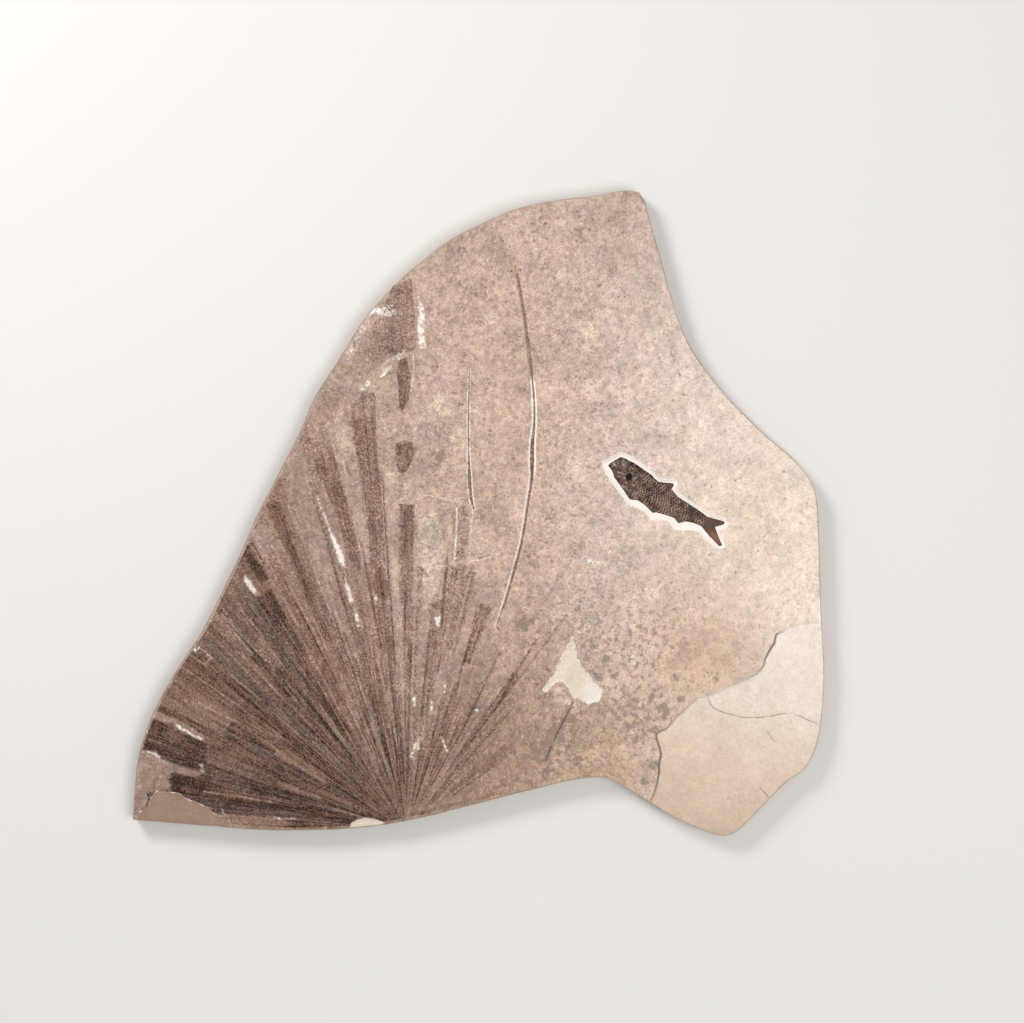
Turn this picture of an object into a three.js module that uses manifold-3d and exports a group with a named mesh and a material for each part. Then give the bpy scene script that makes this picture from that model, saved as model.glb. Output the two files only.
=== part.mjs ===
// Fossil slab: a flat slab of laminated limestone that carries a fossil fish, a fan palm
// frond, two narrow leaf blades and some scraps of leaf. Millimetres, +Z up. The slab lies
// on its back with the fossils up; the origin is at the middle of its back.
import * as THREE from 'three'
import { mergeVertices } from 'three/addons/utils/BufferGeometryUtils.js'
import Module from 'manifold-3d'

const wasm = await Module()
wasm.setup()

// Driving dimensions
const faceHeight = 24
const edgeChamfer = 1.6
const fitGap = 0.3
const filmThickness = 0.6
const bladeGrooveDepth = 1
const longGrooveMargin = 1.5
const shortGrooveMargin = 1
const cutterHeadroom = 5
const fishTrenchDepth = 2
const fishThickness = 3.2
const fishBevel = 1
const fishPlace = new THREE.Vector2(166.8, 61.9)
const fishTilt = -29.4
const lowerBedDepth = 1.5
const patchDepth = 1
const outlineSteps = 240
const smallSteps = 40

// Each colour is a sample of the material as it looks in daylight
const limestone = new THREE.MeshStandardMaterial({ color: 0xcdb59c, roughness: 0.9 })
const fishBone = new THREE.MeshStandardMaterial({ color: 0x4e3d36, roughness: 0.6 })
const leafFilm = new THREE.MeshStandardMaterial({ color: 0x8d6c50, roughness: 0.8 })
const darkLeafFilm = new THREE.MeshStandardMaterial({ color: 0x5b443c, roughness: 0.75 })

// A smooth closed outline; it may turn sharply only where it starts
function smoothOutline(points, steps) {
  const route = points.map(([x, y]) => new THREE.Vector2(x, y))
  route.push(route[0].clone())
  const loop = new THREE.SplineCurve(route).getSpacedPoints(steps)
  loop.pop()
  return new THREE.Shape(loop)
}

// An outline with straight sides between the points given
function plainOutline(points) {
  return new THREE.Shape(points.map(([x, y]) => new THREE.Vector2(x, y)))
}

// A narrow strip along a smooth line; each stop is x, y and the full width there
function stripOutline(stops, margin, steps) {
  const line = new THREE.SplineCurve(stops.map(([x, y]) => new THREE.Vector2(x, y)))
  const left = []
  const right = []
  for (let step = 0; step <= steps; step++) {
    const along = step / steps
    const place = along * (stops.length - 1)
    const stop = Math.min(Math.floor(place), stops.length - 2)
    const width = THREE.MathUtils.lerp(stops[stop][2], stops[stop + 1][2], place - stop)
    const middle = line.getPoint(along)
    const side = line.getTangent(along).rotateAround(new THREE.Vector2(), Math.PI / 2)
    side.multiplyScalar(width / 2 + margin)
    left.push(middle.clone().add(side))
    right.push(middle.clone().sub(side))
  }
  return new THREE.Shape([...right, ...left.reverse()])
}

// A plate from one height to another, with its edges chamfered if a bevel is given
function plate(shape, bottom, top, bevel = 0) {
  const geometry = new THREE.ExtrudeGeometry(shape, {
    depth: top - bottom - 2 * bevel,
    bevelEnabled: bevel > 0,
    bevelThickness: bevel,
    bevelSize: bevel,
    bevelOffset: -bevel,
    bevelSegments: 1,
    steps: 1,
  })
  geometry.translate(0, 0, bottom + bevel)
  return geometry
}

// From a three.js geometry to a solid and back
function toSolid(geometry) {
  const bare = geometry.clone()
  bare.deleteAttribute('normal')
  bare.deleteAttribute('uv')
  const merged = mergeVertices(bare, 1e-4)
  return new wasm.Manifold(new wasm.Mesh({
    numProp: 3,
    vertProperties: new Float32Array(merged.attributes.position.array),
    triVerts: new Uint32Array(merged.index.array),
  }))
}

function toGeometry(solid) {
  const mesh = solid.getMesh()
  const geometry = new THREE.BufferGeometry()
  geometry.setAttribute('position', new THREE.BufferAttribute(mesh.vertProperties, 3))
  geometry.setIndex(new THREE.BufferAttribute(mesh.triVerts, 1))
  geometry.computeVertexNormals()
  return geometry
}

// A cutter removes everything above its floor
function cutter(shape, depth) {
  return toSolid(plate(shape, faceHeight - depth, faceHeight + cutterHeadroom))
}

function placeFish(geometry) {
  geometry.rotateZ(THREE.MathUtils.degToRad(fishTilt))
  geometry.translate(fishPlace.x, fishPlace.y, 0)
  return geometry
}

const group = new THREE.Group()

function addPiece(name, geometry, material) {
  const mesh = new THREE.Mesh(geometry, material)
  mesh.name = name
  group.add(mesh)
}

// Slab outline, clockwise from the sharp bottom left corner: the long left side, the blunt
// top corner, the right side with its shoulder, the bottom tip and the bay beside it
const slabOutline = smoothOutline([
  [-450, -399], [-447, -350], [-439, -300], [-419, -250], [-391, -200], [-358, -150],
  [-333, -100], [-309, -50], [-287, 0], [-236, 100], [-214, 150], [-182, 200],
  [-151, 250], [-106, 300], [-50, 347], [0, 375], [50, 396], [100, 407], [150, 413],
  [190, 420], [211, 416], [219, 396], [232, 350], [261, 250], [286, 200], [325, 150],
  [375, 100], [405, 75], [427, 50], [439, 25], [443, -25], [446, -125], [450, -200],
  [448, -255], [440, -303], [424, -334], [401, -350], [352, -400], [334, -416],
  [318, -420.5], [298, -415], [250, -394], [200, -363], [173, -347], [150, -344],
  [120, -348], [50, -365], [-50, -391], [-100, -402], [-150, -409], [-225, -413],
  [-300, -411],
], outlineSteps)

// Lower, paler beds laid bare: the lower right corner, a wedge beside the frond, and two
// flakes broken off the bottom edge
const lowerRightBed = plainOutline([
  [480, -139], [430, -141], [416, -142], [403, -147], [392, -154], [386, -156],
  [383, -168], [377, -178], [371, -190], [369, -198], [360, -208], [346, -215],
  [331, -221], [307, -232], [295, -237], [285, -239], [276, -246], [258, -262],
  [245, -277], [229, -286], [230, -295], [234, -306], [235, -313], [233, -325],
  [233, -340], [230, -353], [226, -365], [221, -373], [212, -390], [212, -440],
  [480, -440],
])
const middlePatch = plainOutline([
  [122, -158], [126, -172], [128, -185], [133, -195], [139, -205], [147, -214],
  [154, -223], [162, -228], [160, -237], [156, -247], [150, -246], [144, -250],
  [136, -246], [130, -242], [123, -242], [120, -234], [114, -225], [107, -218],
  [99, -222], [93, -228], [86, -235], [83, -233], [84, -228], [89, -221], [96, -212],
  [101, -198], [110, -182], [116, -169],
])
const lowerLeftFlake = plainOutline([
  [-446, -420], [-444, -394], [-440, -386], [-431, -379], [-426, -367], [-422, -360],
  [-412, -361], [-401, -361], [-389, -363], [-380, -370], [-370, -373], [-361, -377],
  [-350, -382], [-343, -391], [-334, -394], [-324, -395], [-318, -420],
])
const bottomFlake = plainOutline([
  [-168, -420], [-167, -403], [-159, -398], [-149, -395], [-137, -396], [-125, -400],
  [-118, -403], [-116, -420],
])

// Fish in its own frame: the nose at the origin, the tail towards +X, the back towards +Y
const fishOutline = plainOutline([
  [0, 0], [1, 5], [4, 10], [9, 19], [15, 20.8], [30, 21.4], [44, 20.4], [57, 19],
  [68.5, 15.5], [78, 19.5], [87, 23.2], [89.3, 20.5], [89.5, 15.5], [101, 11],
  [129, 9], [147.5, 7.3], [168, 12.7], [171.5, 11], [171, 7], [163.2, -0.4],
  [175, -10.5], [183.5, -17.3], [179, -20.8], [162, -16], [145.3, -9.2], [134, -11],
  [125, -14], [118, -21.2], [110, -17.5], [96, -20.4], [86, -22.6], [82.5, -25.8],
  [70, -22.3], [57.6, -20.6], [48, -25.2], [31, -17], [16, -10], [8.5, -3.3],
])
const fishTrench = plainOutline([
  [-6, -3], [-7.8, 2], [-1, 11.5], [5, 22], [14, 25.7], [34, 25.5], [50, 23.5],
  [67, 18.5], [80, 25], [88, 28.5], [92, 24], [92, 17], [108, 14], [139, 11.3],
  [149, 9.8], [167, 15.4], [174.5, 13], [176.5, 6.4], [168.3, -1.6], [181, -10.5],
  [186.5, -17], [180, -23.5], [161, -22], [146, -17], [139, -18.5], [119, -29.6],
  [104, -24], [95, -26.6], [84, -33.5], [72, -28.5], [50, -29.2], [40, -26.5],
  [21, -18.6], [6, -11.5],
])

// Frond: a fan spread from the stalk end at the bottom edge, torn along its top
const frondOutline = plainOutline([
  [-93, -393], [-150, -401], [-230, -403], [-308, -399], [-322, -388], [-352, -373],
  [-390, -354], [-424, -352], [-437, -345], [-427, -303], [-412, -264], [-362, -180],
  [-332, -124], [-305, -66], [-279, -8], [-231, 90], [-210, 134], [-184, 160],
  [-134, 157], [-130, 60], [-110, 14], [-60, 8], [-44, -30], [-34, -68], [0, -66],
  [60, -58], [133, -44], [140, -107], [112, -150], [85, -205], [66, -240], [66, -300],
  [54, -338], [2, -368], [-50, -382],
])

// Blades: each stop is x, y and full width
const longBlade = [
  [50, 312, 1.2], [57, 272, 1.8], [62, 238, 2], [67, 199, 2.2], [71.5, 155, 2.6],
  [72.5, 120, 3], [70, 92, 5.5], [69.5, 66, 6.5], [69, 45, 3.6], [64, 14, 3.4],
  [56, -36, 3.4], [44, -82, 3.2], [34, -116, 2.6], [23, -148, 1.4],
]
const shortBlade = [
  [-12, 186, 1.4], [-13, 134, 1.8], [-13, 83, 2.2], [-12, 50, 5], [-10, 22, 4.4],
  [-6, 4, 1.6],
]

// A strip of leaf below the short blade, and scraps on the upper left of the face
const leafStrip = plainOutline([
  [-37, 12], [-34, 9], [-30, 13], [-22, 10], [-14, 12], [-11, 0], [-11, -24], [-14, -48],
  [-15, -62], [-24, -64], [-33, -64], [-36, -28],
])
const topScrap = plainOutline([
  [-112, 296], [-86, 307], [-82, 268], [-81, 229], [-79, 212], [-112, 203],
  [-127, 191], [-158, 168], [-170, 172], [-166, 198], [-148, 236], [-129, 259],
])
const upperScrap = plainOutline([
  [-106, 192], [-104, 199], [-98, 202], [-92, 206], [-90, 190], [-87, 178], [-87, 162],
  [-90, 155], [-89, 147], [-95, 140], [-96, 133], [-101, 129], [-104, 138], [-105, 160],
  [-108, 181],
])
const middleScrap = plainOutline([
  [-109, 91], [-97, 95], [-85, 93], [-82, 78], [-86, 65], [-92, 54], [-99, 50],
  [-105, 53], [-109, 63],
])

// The slab: one stone, cut back for its lower beds, the fish trench and the blade grooves
const fishCutter = toSolid(placeFish(plate(
  fishTrench, faceHeight - fishTrenchDepth, faceHeight + cutterHeadroom)))
const longGroove = cutter(
  stripOutline(longBlade, longGrooveMargin, smallSteps), bladeGrooveDepth)
const shortGroove = cutter(
  stripOutline(shortBlade, shortGrooveMargin, smallSteps), bladeGrooveDepth)
let slab = toSolid(plate(slabOutline, 0, faceHeight, edgeChamfer))
const cutters = [
  cutter(lowerRightBed, lowerBedDepth),
  cutter(middlePatch, patchDepth),
  cutter(lowerLeftFlake, patchDepth),
  cutter(bottomFlake, patchDepth),
  fishCutter,
  longGroove,
  shortGroove,
]
for (const removed of cutters) {
  slab = slab.subtract(removed)
}
addPiece('stone_slab', toGeometry(slab), limestone)

// The fish lies on the floor of its trench
const fishBase = faceHeight - fishTrenchDepth + fitGap
const fishSolid = placeFish(plate(fishOutline, fishBase, fishBase + fishThickness, fishBevel))
addPiece('fossil_fish', fishSolid, fishBone)

// The blades lie on the floor of their grooves
const bladeBase = faceHeight - bladeGrooveDepth + fitGap
const bladeTop = faceHeight + filmThickness
const longBladeShape = stripOutline(longBlade, 0, smallSteps)
const shortBladeShape = stripOutline(shortBlade, 0, smallSteps)
addPiece('long_leaf_blade', plate(longBladeShape, bladeBase, bladeTop), darkLeafFilm)
addPiece('short_leaf_blade', plate(shortBladeShape, bladeBase, bladeTop), darkLeafFilm)

// The frond and the scraps are films on the face; the frond parts at the long blade
const filmBase = faceHeight + fitGap
const filmTop = filmBase + filmThickness
const frond = toSolid(plate(frondOutline, filmBase, filmTop)).subtract(longGroove)
  .subtract(cutter(middlePatch, patchDepth))
addPiece('palm_frond', toGeometry(frond), leafFilm)
const films = {
  leaf_strip: leafStrip,
  leaf_scrap_top: topScrap,
  leaf_scrap_upper: upperScrap,
  leaf_scrap_middle: middleScrap,
}
for (const [name, shape] of Object.entries(films)) {
  addPiece(name, plate(shape, filmBase, filmTop), darkLeafFilm)
}

export default group
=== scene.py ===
# A fossil slab lying on its back: split lake limestone that carries a fish, a fan palm frond,
# two narrow leaf blades and some scraps of leaf. The CAD model gives every outline and place.
# Lengths are in millimetres here, and become metres where a mesh is made.
import math

import bpy
import numpy as np
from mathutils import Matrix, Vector
from mathutils.geometry import delaunay_2d_cdt


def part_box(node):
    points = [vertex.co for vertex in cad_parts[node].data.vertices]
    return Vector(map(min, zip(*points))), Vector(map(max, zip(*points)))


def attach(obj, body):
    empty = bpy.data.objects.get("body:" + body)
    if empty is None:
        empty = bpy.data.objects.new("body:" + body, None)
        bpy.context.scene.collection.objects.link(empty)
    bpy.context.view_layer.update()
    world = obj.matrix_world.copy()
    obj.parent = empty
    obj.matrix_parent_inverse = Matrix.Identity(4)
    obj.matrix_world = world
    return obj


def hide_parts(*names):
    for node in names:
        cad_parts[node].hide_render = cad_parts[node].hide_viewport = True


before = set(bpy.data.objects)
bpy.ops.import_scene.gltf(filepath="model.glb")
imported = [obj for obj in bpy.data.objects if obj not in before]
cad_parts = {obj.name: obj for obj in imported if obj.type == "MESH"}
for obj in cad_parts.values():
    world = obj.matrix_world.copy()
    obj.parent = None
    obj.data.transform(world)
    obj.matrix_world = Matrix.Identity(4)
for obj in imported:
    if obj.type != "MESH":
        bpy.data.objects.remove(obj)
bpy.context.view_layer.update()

# ------------------------------------------------------------------------------------------
# Limestone slab
# One flat split of laminated lake limestone, trimmed to an irregular outline with a chisel.
# Its face is a bedding plane; paler beds show where flakes came away, and the preparator has
# carved a chalky trench round the fish and freed the two blades.
# ------------------------------------------------------------------------------------------
MM = 0.001
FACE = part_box("stone_slab")[1].z / MM


def cad_rings(node, height):
    """Closed loops of a CAD node's edges at one height, as arrays of x and y, longest first."""
    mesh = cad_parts[node].data
    key = [tuple(round(c / MM, 2) for c in v.co) for v in mesh.vertices]
    level = [abs(k[2] - height) < 0.05 for k in key]
    flat_sides = {}
    for polygon in mesh.polygons:
        flat = all(level[v] for v in polygon.vertices)
        for a, b in polygon.edge_keys:
            if level[a] and level[b] and key[a] != key[b]:
                edge = tuple(sorted((key[a], key[b])))
                flat_sides[edge] = flat_sides.get(edge, 0) + flat
    beside = {}
    for (a, b), flat in flat_sides.items():
        if flat < 2:
            beside.setdefault(a, []).append(b)
            beside.setdefault(b, []).append(a)
    rings = []
    while beside:
        start = next(iter(beside))
        ring, here = [], start
        while here in beside:
            ring.append(here[:2])
            onward = [p for p in beside.pop(here) if p in beside]
            here = onward[0] if onward else start
        if len(ring) > 2:
            rings.append(np.array(ring))
    return sorted(rings, key=lambda r: -np.ptp(r, axis=0).sum())


def ring_at(rings, x, y):
    """The ring whose middle is nearest to a place."""
    return min(rings, key=lambda r: np.hypot(*(r.mean(0) - (x, y))))


def resample(line, spacing, closed=True):
    """A line with a point about every so many millimetres."""
    line = np.asarray(line, float)
    route = np.vstack([line, line[:1]]) if closed else line
    run = np.concatenate([[0], np.cumsum(np.hypot(*np.diff(route, axis=0).T))])
    count = max(int(round(run[-1] / spacing)), 3)
    stops = np.linspace(0, run[-1], count, endpoint=not closed)
    return np.stack([np.interp(stops, run, route[:, i]) for i in (0, 1)], axis=1)


def area(loop):
    x, y = loop.T
    return 0.5 * np.sum(x * np.roll(y, -1) - np.roll(x, -1) * y)


def anticlockwise(loop):
    return loop if area(loop) > 0 else loop[::-1]


def inset(loop, distance):
    """The loop moved inwards by a distance, or by one distance for each point."""
    ahead = np.roll(loop, -1, axis=0) - np.roll(loop, 1, axis=0)
    ahead /= np.maximum(np.hypot(*ahead.T), 1e-9)[:, None]
    inward = np.stack([-ahead[:, 1], ahead[:, 0]], axis=1) * np.sign(area(loop))
    return loop + inward * np.broadcast_to(distance, len(loop))[:, None]


def distance_to(points, line, closed=True):
    """Distance from points to a line; inside a closed one it is positive, outside negative."""
    line = np.asarray(line, float)
    a = line if closed else line[:-1]
    edge = np.roll(line, -1, axis=0)[: len(a)] - a
    size = np.maximum((edge**2).sum(-1), 1e-12)
    rise = np.where(np.abs(edge[:, 1]) < 1e-9, 1e-9, edge[:, 1])
    found = np.empty(len(points))
    for start in range(0, len(points), 4096):
        part = slice(start, start + 4096)
        from_a = points[part, None] - a
        along = np.clip((from_a * edge).sum(-1) / size, 0, 1)
        away = from_a - along[..., None] * edge
        near = np.hypot(away[..., 0], away[..., 1]).min(1)
        if closed:
            level = points[part, None, 1]
            spans = (a[:, 1] > level) != (a[:, 1] + edge[:, 1] > level)
            left = from_a[..., 0] < edge[:, 0] * from_a[..., 1] / rise
            near = np.where((spans & left).sum(1) % 2 == 1, near, -near)
        found[part] = near
    return found


def within_any(points, loops):
    """How far inside the nearest of several loops each point is; outside them all, negative."""
    return np.max([distance_to(points, loop) for loop in loops], axis=0)


def lumps(points, size, seed, octaves=3):
    """A smooth random field between about -1 and 1, with lumps of a size in millimetres."""
    draw = np.random.default_rng(seed)
    total = np.zeros(len(points))
    for octave in range(octaves):
        table = draw.uniform(-1, 1, (64, 64))
        place = np.asarray(points, float) / size * 2**octave + 1000
        cell = np.floor(place).astype(int)
        x, y = (place - cell).T
        x, y = x * x * (3 - 2 * x), y * y * (3 - 2 * y)
        (i, j), (k, n) = cell.T % 64, (cell.T + 1) % 64
        low = table[i, j] * (1 - x) + table[k, j] * x
        high = table[i, n] * (1 - x) + table[k, n] * x
        total += (low * (1 - y) + high * y) / 2**octave
    return total / 1.4


def smooth_step(value, low, high):
    t = np.clip((value - low) / (high - low), 0, 1)
    return t * t * (3 - 2 * t)


def ragged(loop, size, depth, seed):
    """A loop with a broken edge: moved inwards by up to about the depth."""
    wander = 0.65 * lumps(loop, size, seed) + 0.35 * lumps(loop, size / 5, seed + 1)
    return inset(loop, depth * (0.5 + 0.5 * wander))


def triangulate(rim, lines, spots):
    """Triangles inside a rim that keep to the lines.

    Gives the points, the triangles, the number each point had (rim first), and the number of
    the line it is on.
    """
    points = [Vector(p) for p in rim]
    line_of = [-1] * len(rim)
    edges = []
    for line_number, (line, closed) in enumerate(lines):
        kept = distance_to(line, rim) > 0.7
        number = len(points) + np.cumsum(kept) - 1
        points.extend(Vector(p) for p in line[kept])
        line_of.extend([line_number] * int(kept.sum()))
        for n in range(0 if closed else 1, len(line)):
            if kept[n] and kept[n - 1]:
                edges.append((int(number[n - 1]), int(number[n])))
    points.extend(Vector(p) for p in spots)
    line_of.extend([-1] * (len(spots) + 1))
    made = delaunay_2d_cdt(points, edges, [list(range(len(rim)))], 1, 1e-4)
    where = np.array([tuple(p) for p in made[0]])
    source = np.array([ids[0] if ids else -1 for ids in made[3]])
    return where, np.array(made[2]), source, np.array(line_of)[source]


def clear_of(spots, others, gap):
    """The spots that are at least a gap from every other point."""
    low = np.minimum(spots.min(0), others.min(0)) - 3 * gap
    size = ((np.maximum(spots.max(0), others.max(0)) - low) / gap + 4).astype(int)
    taken = np.zeros(size, bool)
    i, j = ((others - low) / gap).astype(int).T
    for across in (-1, 0, 1):
        for up in (-1, 0, 1):
            taken[i + across, j + up] = True
    i, j = ((spots - low) / gap).astype(int).T
    return spots[~taken[i, j]]


def hex_spots(low, high, spacing, seed):
    """Points of a slightly shaken triangular grid between two corners."""
    x = np.arange(low[0], high[0], spacing)
    y = np.arange(low[1], high[1], spacing * 0.866)
    spots = np.stack(np.meshgrid(x, y), axis=-1)
    spots[1::2, :, 0] += spacing / 2
    spots = spots.reshape(-1, 2)
    shake = np.random.default_rng(seed).uniform(-0.16, 0.16, spots.shape)
    return spots + shake * spacing


def linear(code):
    """An sRGB hex colour as linear red, green, blue and alpha."""
    parts = [int(code[i : i + 2], 16) / 255 for i in (0, 2, 4)]
    return tuple(p / 12.92 if p <= 0.04045 else ((p + 0.055) / 1.055) ** 2.4 for p in parts) + (1.0,)


def undulation(points):
    """The bedding plane is never quite flat: a slow roll of a fraction of a millimetre."""
    return 0.22 * lumps(points, 150, 5) + 0.06 * lumps(points, 40, 6, 2)


# The face pales from umber at the left to cream at the right edge, partly in the stone's own colour and
# partly as painted light that brightens it towards the right: where, and the tint there
PALING_WITH_PAINTED_LIGHT = [(-450, "a18a7c"), (-170, "b9a294"), (60, "cab1a2"), (250, "dfccc0"), (430, "f2e3d4")]
# Broad patches on it, partly stains and partly painted light: place, reach and tint
STAINS_AND_PAINTED_LIGHT = [
    (40, -340, 150, "ae9381"), (-190, -420, 150, "957c6d"), (150, 430, 150, "c2ab9e"),
    (290, -190, 100, "d6bba5"), (150, -330, 75, "c4aa93"), (360, -30, 70, "ecd9c4"),
]


def nearness(points, x, y, reach):
    """1 at a place, falling off smoothly over a reach."""
    return np.exp(-((points[:, 0] - x) ** 2 + (points[:, 1] - y) ** 2) / reach**2)


def toward(tint, amount, code):
    """Tints brought towards a colour by an amount for each point."""
    return tint + np.asarray(amount)[:, None] * (np.array(linear(code)[:3]) - tint)


def paling(where, stops):
    """Tints that pass smoothly from one stop to the next."""
    tints = np.array([linear(code)[:3] for _, code in stops])
    places = [place for place, _ in stops]
    return np.stack([np.interp(where, places, tints[:, i]) for i in range(3)], axis=1)


def stone_and_light_tint(points):
    """The stone's broad colour at each point: how pale the face is there, and its stains, with painted
    light that brightens it towards the right.
    """
    tint = paling(points[:, 0] + 30 * lumps(points, 150, 30, 2), PALING_WITH_PAINTED_LIGHT)
    for x, y, reach, code in STAINS_AND_PAINTED_LIGHT:
        tint = toward(tint, nearness(points, x, y, reach), code)
    return tint


# Thin flakes gone from the face, which show a mottled cream bed
FLAKED = [
    [(-124, 62), (-110, 58), (-107, 46), (-111, 33), (-122, 36)],
    [(-80, -6), (-58, 2), (-46, -16), (-44, -60), (-52, -100), (-66, -122), (-76, -84), (-80, -40)],
    [(-56, 154), (-40, 158), (-30, 138), (-34, 122), (-50, 126), (-58, 140)],
    [(-34, 112), (-20, 110), (-18, 84), (-32, 80), (-40, 96)],
    [(92, -232), (108, -221), (120, -246), (122, -258), (100, -246)],
    [(130, 250), (146, 252), (160, 236), (150, 224), (134, 232)],
    [(-112, -58), (-104, -60), (-102, -110), (-110, -118), (-114, -90)],
    [(-190, 130), (-176, 132), (-168, 90), (-172, 50), (-180, 60), (-188, 100)],
]
# Chalky scars where the surface has flaked off or a tool has slipped: how solid the chalk is,
# and the corners
SCARS = [
    (2.0, [(-150, 258), (-138, 268), (-126, 267), (-119, 273), (-108, 270), (-106, 260), (-116, 254),
           (-126, 255), (-134, 260), (-142, 256)]),
    (0.4, [(-110, 252), (-102, 258), (-99, 255), (-106, 249)]),
    (1.1, [(-79, 283), (-76, 273), (-71, 270), (-69, 250), (-70, 232), (-68, 216), (-75, 212),
           (-79, 222), (-80, 240), (-79, 262)]),
    (0.7, [(-108, 203), (-104, 213), (-94, 218), (-91, 214), (-98, 206), (-104, 197)]),
    (1.2, [(-129, 178), (-124, 189), (-113, 193), (-112, 188), (-120, 180), (-128, 174)]),
    (0.8, [(-163, 154), (-152, 165), (-141, 177), (-140, 168), (-150, 158), (-160, 152)]),
    (-0.2, [(-178, 196), (-165, 222), (-152, 246), (-143, 256), (-142, 246), (-152, 226), (-162, 206),
            (-172, 192)]),
    (2.6, [(-30, 8), (-26, 8), (-27, -25), (-29, -62), (-33, -62), (-31, -28)]),
    (0.0, [(24, 149), (30, 139), (27, 132), (22, 141)]),
    (0.2, [(140, -57), (152, -63), (176, -58), (170, -66), (150, -70), (142, -66)]),
    (0.0, [(108, -64), (122, -59), (124, -63), (112, -69)]),
    (-0.4, [(132, -120), (142, -112), (152, -118), (142, -128)]),
    (-0.2, [(186, -178), (200, -172), (212, -182), (206, -196), (194, -200), (188, -190)]),
    (-0.1, [(-60, -103), (-40, -118), (-32, -134), (-38, -133), (-46, -120), (-62, -110)]),
    (-0.4, [(104, -20), (117, -8), (113, -20), (104, -27)]),
]

# Fine cracks and slips: points along each and its half width
CRACKS = [
    ([(298, -240), (300, -247), (306, -254), (319, -260), (346, -266), (365, -266), (407, -260),
      (428, -269), (443, -275)], 0.65),
    ([(122, -247), (119, -254), (113, -265), (108, -274), (98, -296), (87, -322)], 1.4),
    ([(-262, -398), (-250, -401), (-244, -406), (-236, -412)], 1.3),
    ([(-421, -360), (-428, -370), (-431, -381)], 2.0),
    ([(-431, -381), (-439, -386), (-446, -392)], 1.2),
    ([(377, -286), (381, -291), (386, -298)], 0.8),
    ([(366, -357), (372, -363), (377, -369)], 0.8),
    ([(85, -76), (91, -92), (90, -112), (77, -129)], 0.8),
]

# Pale hair lines where the film or the top lamina ends in a torn edge
PALE_LINES = [
    ([(-80, 18), (-66, 24), (-50, 20), (-34, 16), (-22, 20), (-10, 22)], 0.7),
    ([(-14, -62), (4, -60), (22, -56), (30, -50)], 0.6),
    ([(78, -60), (88, -72), (90, -92), (82, -112), (66, -126), (48, -136)], 0.8),
    ([(-50, 158), (-62, 140), (-74, 124), (-82, 108)], 0.6),
    ([(-78, -78), (-60, -86), (-48, -98), (-40, -112)], 0.6),
    ([(-182, 120), (-168, 118), (-150, 122), (-134, 118)], 0.6),
    ([(-8, 2), (-9, -30), (-12, -58), (-16, -74)], 0.7),
    ([(-46, 150), (-56, 128), (-52, 104), (-30, 96)], 0.7),
    ([(-86, 209), (-84, 196), (-85, 180), (-86, 166), (-88, 158)], 0.8),
]

# The outline is read just above the chamfer of the CAD's lower edge
outline = anticlockwise(resample(cad_rings("stone_slab", 1.6)[0], 2.4))
# How far below the face the low bed, the flakes with the grooves, and the trench lie
BED_DROP, FLAKE_DROP, TRENCH_DROP = 1.5, 1, 2.0
low_bed_rings = cad_rings("stone_slab", FACE - BED_DROP)
flake_rings = cad_rings("stone_slab", FACE - FLAKE_DROP)
trench_ring = ring_at(cad_rings("stone_slab", FACE - TRENCH_DROP), 240, 10)
frond_ring = cad_rings("palm_frond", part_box("palm_frond")[0].z / MM)[0]
# Each recess: its ring, how deep it is, how wide its wall is, how ragged, and what it shows
recesses = [
    (low_bed_rings[0], BED_DROP, 1.3, 1.6, "bed"),
    (ring_at(flake_rings, 120, -210), 0.9, 1.4, 1.8, "flake"),
    (ring_at(flake_rings, -385, -385), 0.9, 1.4, 1.8, "flake"),
    (ring_at(flake_rings, -145, -400), 0.9, 1.2, 1.5, "flake"),
    (ring_at(flake_rings, 55, 90), 0.9, 0.7, 0.4, "long groove"),
    (ring_at(flake_rings, -12, 95), 0.9, 0.7, 0.4, "short groove"),
    (trench_ring, TRENCH_DROP, 1.6, 0.7, "trench"),
]
# The face ends where the broken edge rounds over
RIM_WIDTH = 1.7
rim = inset(outline, RIM_WIDTH + 0.5 * np.abs(lumps(outline, 22, 21)))
lines = []
recess_loops = []
for number, (ring, depth, wall, rough, kind) in enumerate(recesses):
    loop = ragged(resample(anticlockwise(ring), 2.2), 16, rough, 40 + number)
    # A recess that reaches the edge of the slab runs 14 mm past it
    runs_off = distance_to(loop, outline[::3]) < 3.5
    loop = loop * (1 + 14 * runs_off / np.hypot(*loop.T))[:, None]
    recess_loops.append(loop)
    lines.append((loop, True))
    lines.append((inset(loop, wall), True))
    lines.append((inset(loop, -1.3), True))
scar_loops = [ragged(resample(scar, 2.2), 8, 1.6, 77) for _, scar in SCARS]
flaked_loops = [ragged(resample(patch, 2.6), 9, 2.6, 78) for patch in FLAKED]
flaked_loops = [anticlockwise(loop) for loop in flaked_loops]
lines.extend((loop, True) for loop in scar_loops + flaked_loops)
crack_lines, pale_lines = [], []
for marks, kept in ((CRACKS, crack_lines), (PALE_LINES, pale_lines)):
    for line, half in marks:
        middle = resample(line, 2.5, closed=False)
        middle += 0.8 * np.stack([lumps(middle, 12, 8), lumps(middle, 12, 9)], axis=1)
        ahead = np.gradient(middle, axis=0)
        side = np.stack([-ahead[:, 1], ahead[:, 0]], axis=1) / np.hypot(*ahead.T)[:, None] * half
        kept.append((middle, half))
        lines.extend([(middle, False), (middle + side, False), (middle - side, False)])

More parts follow.
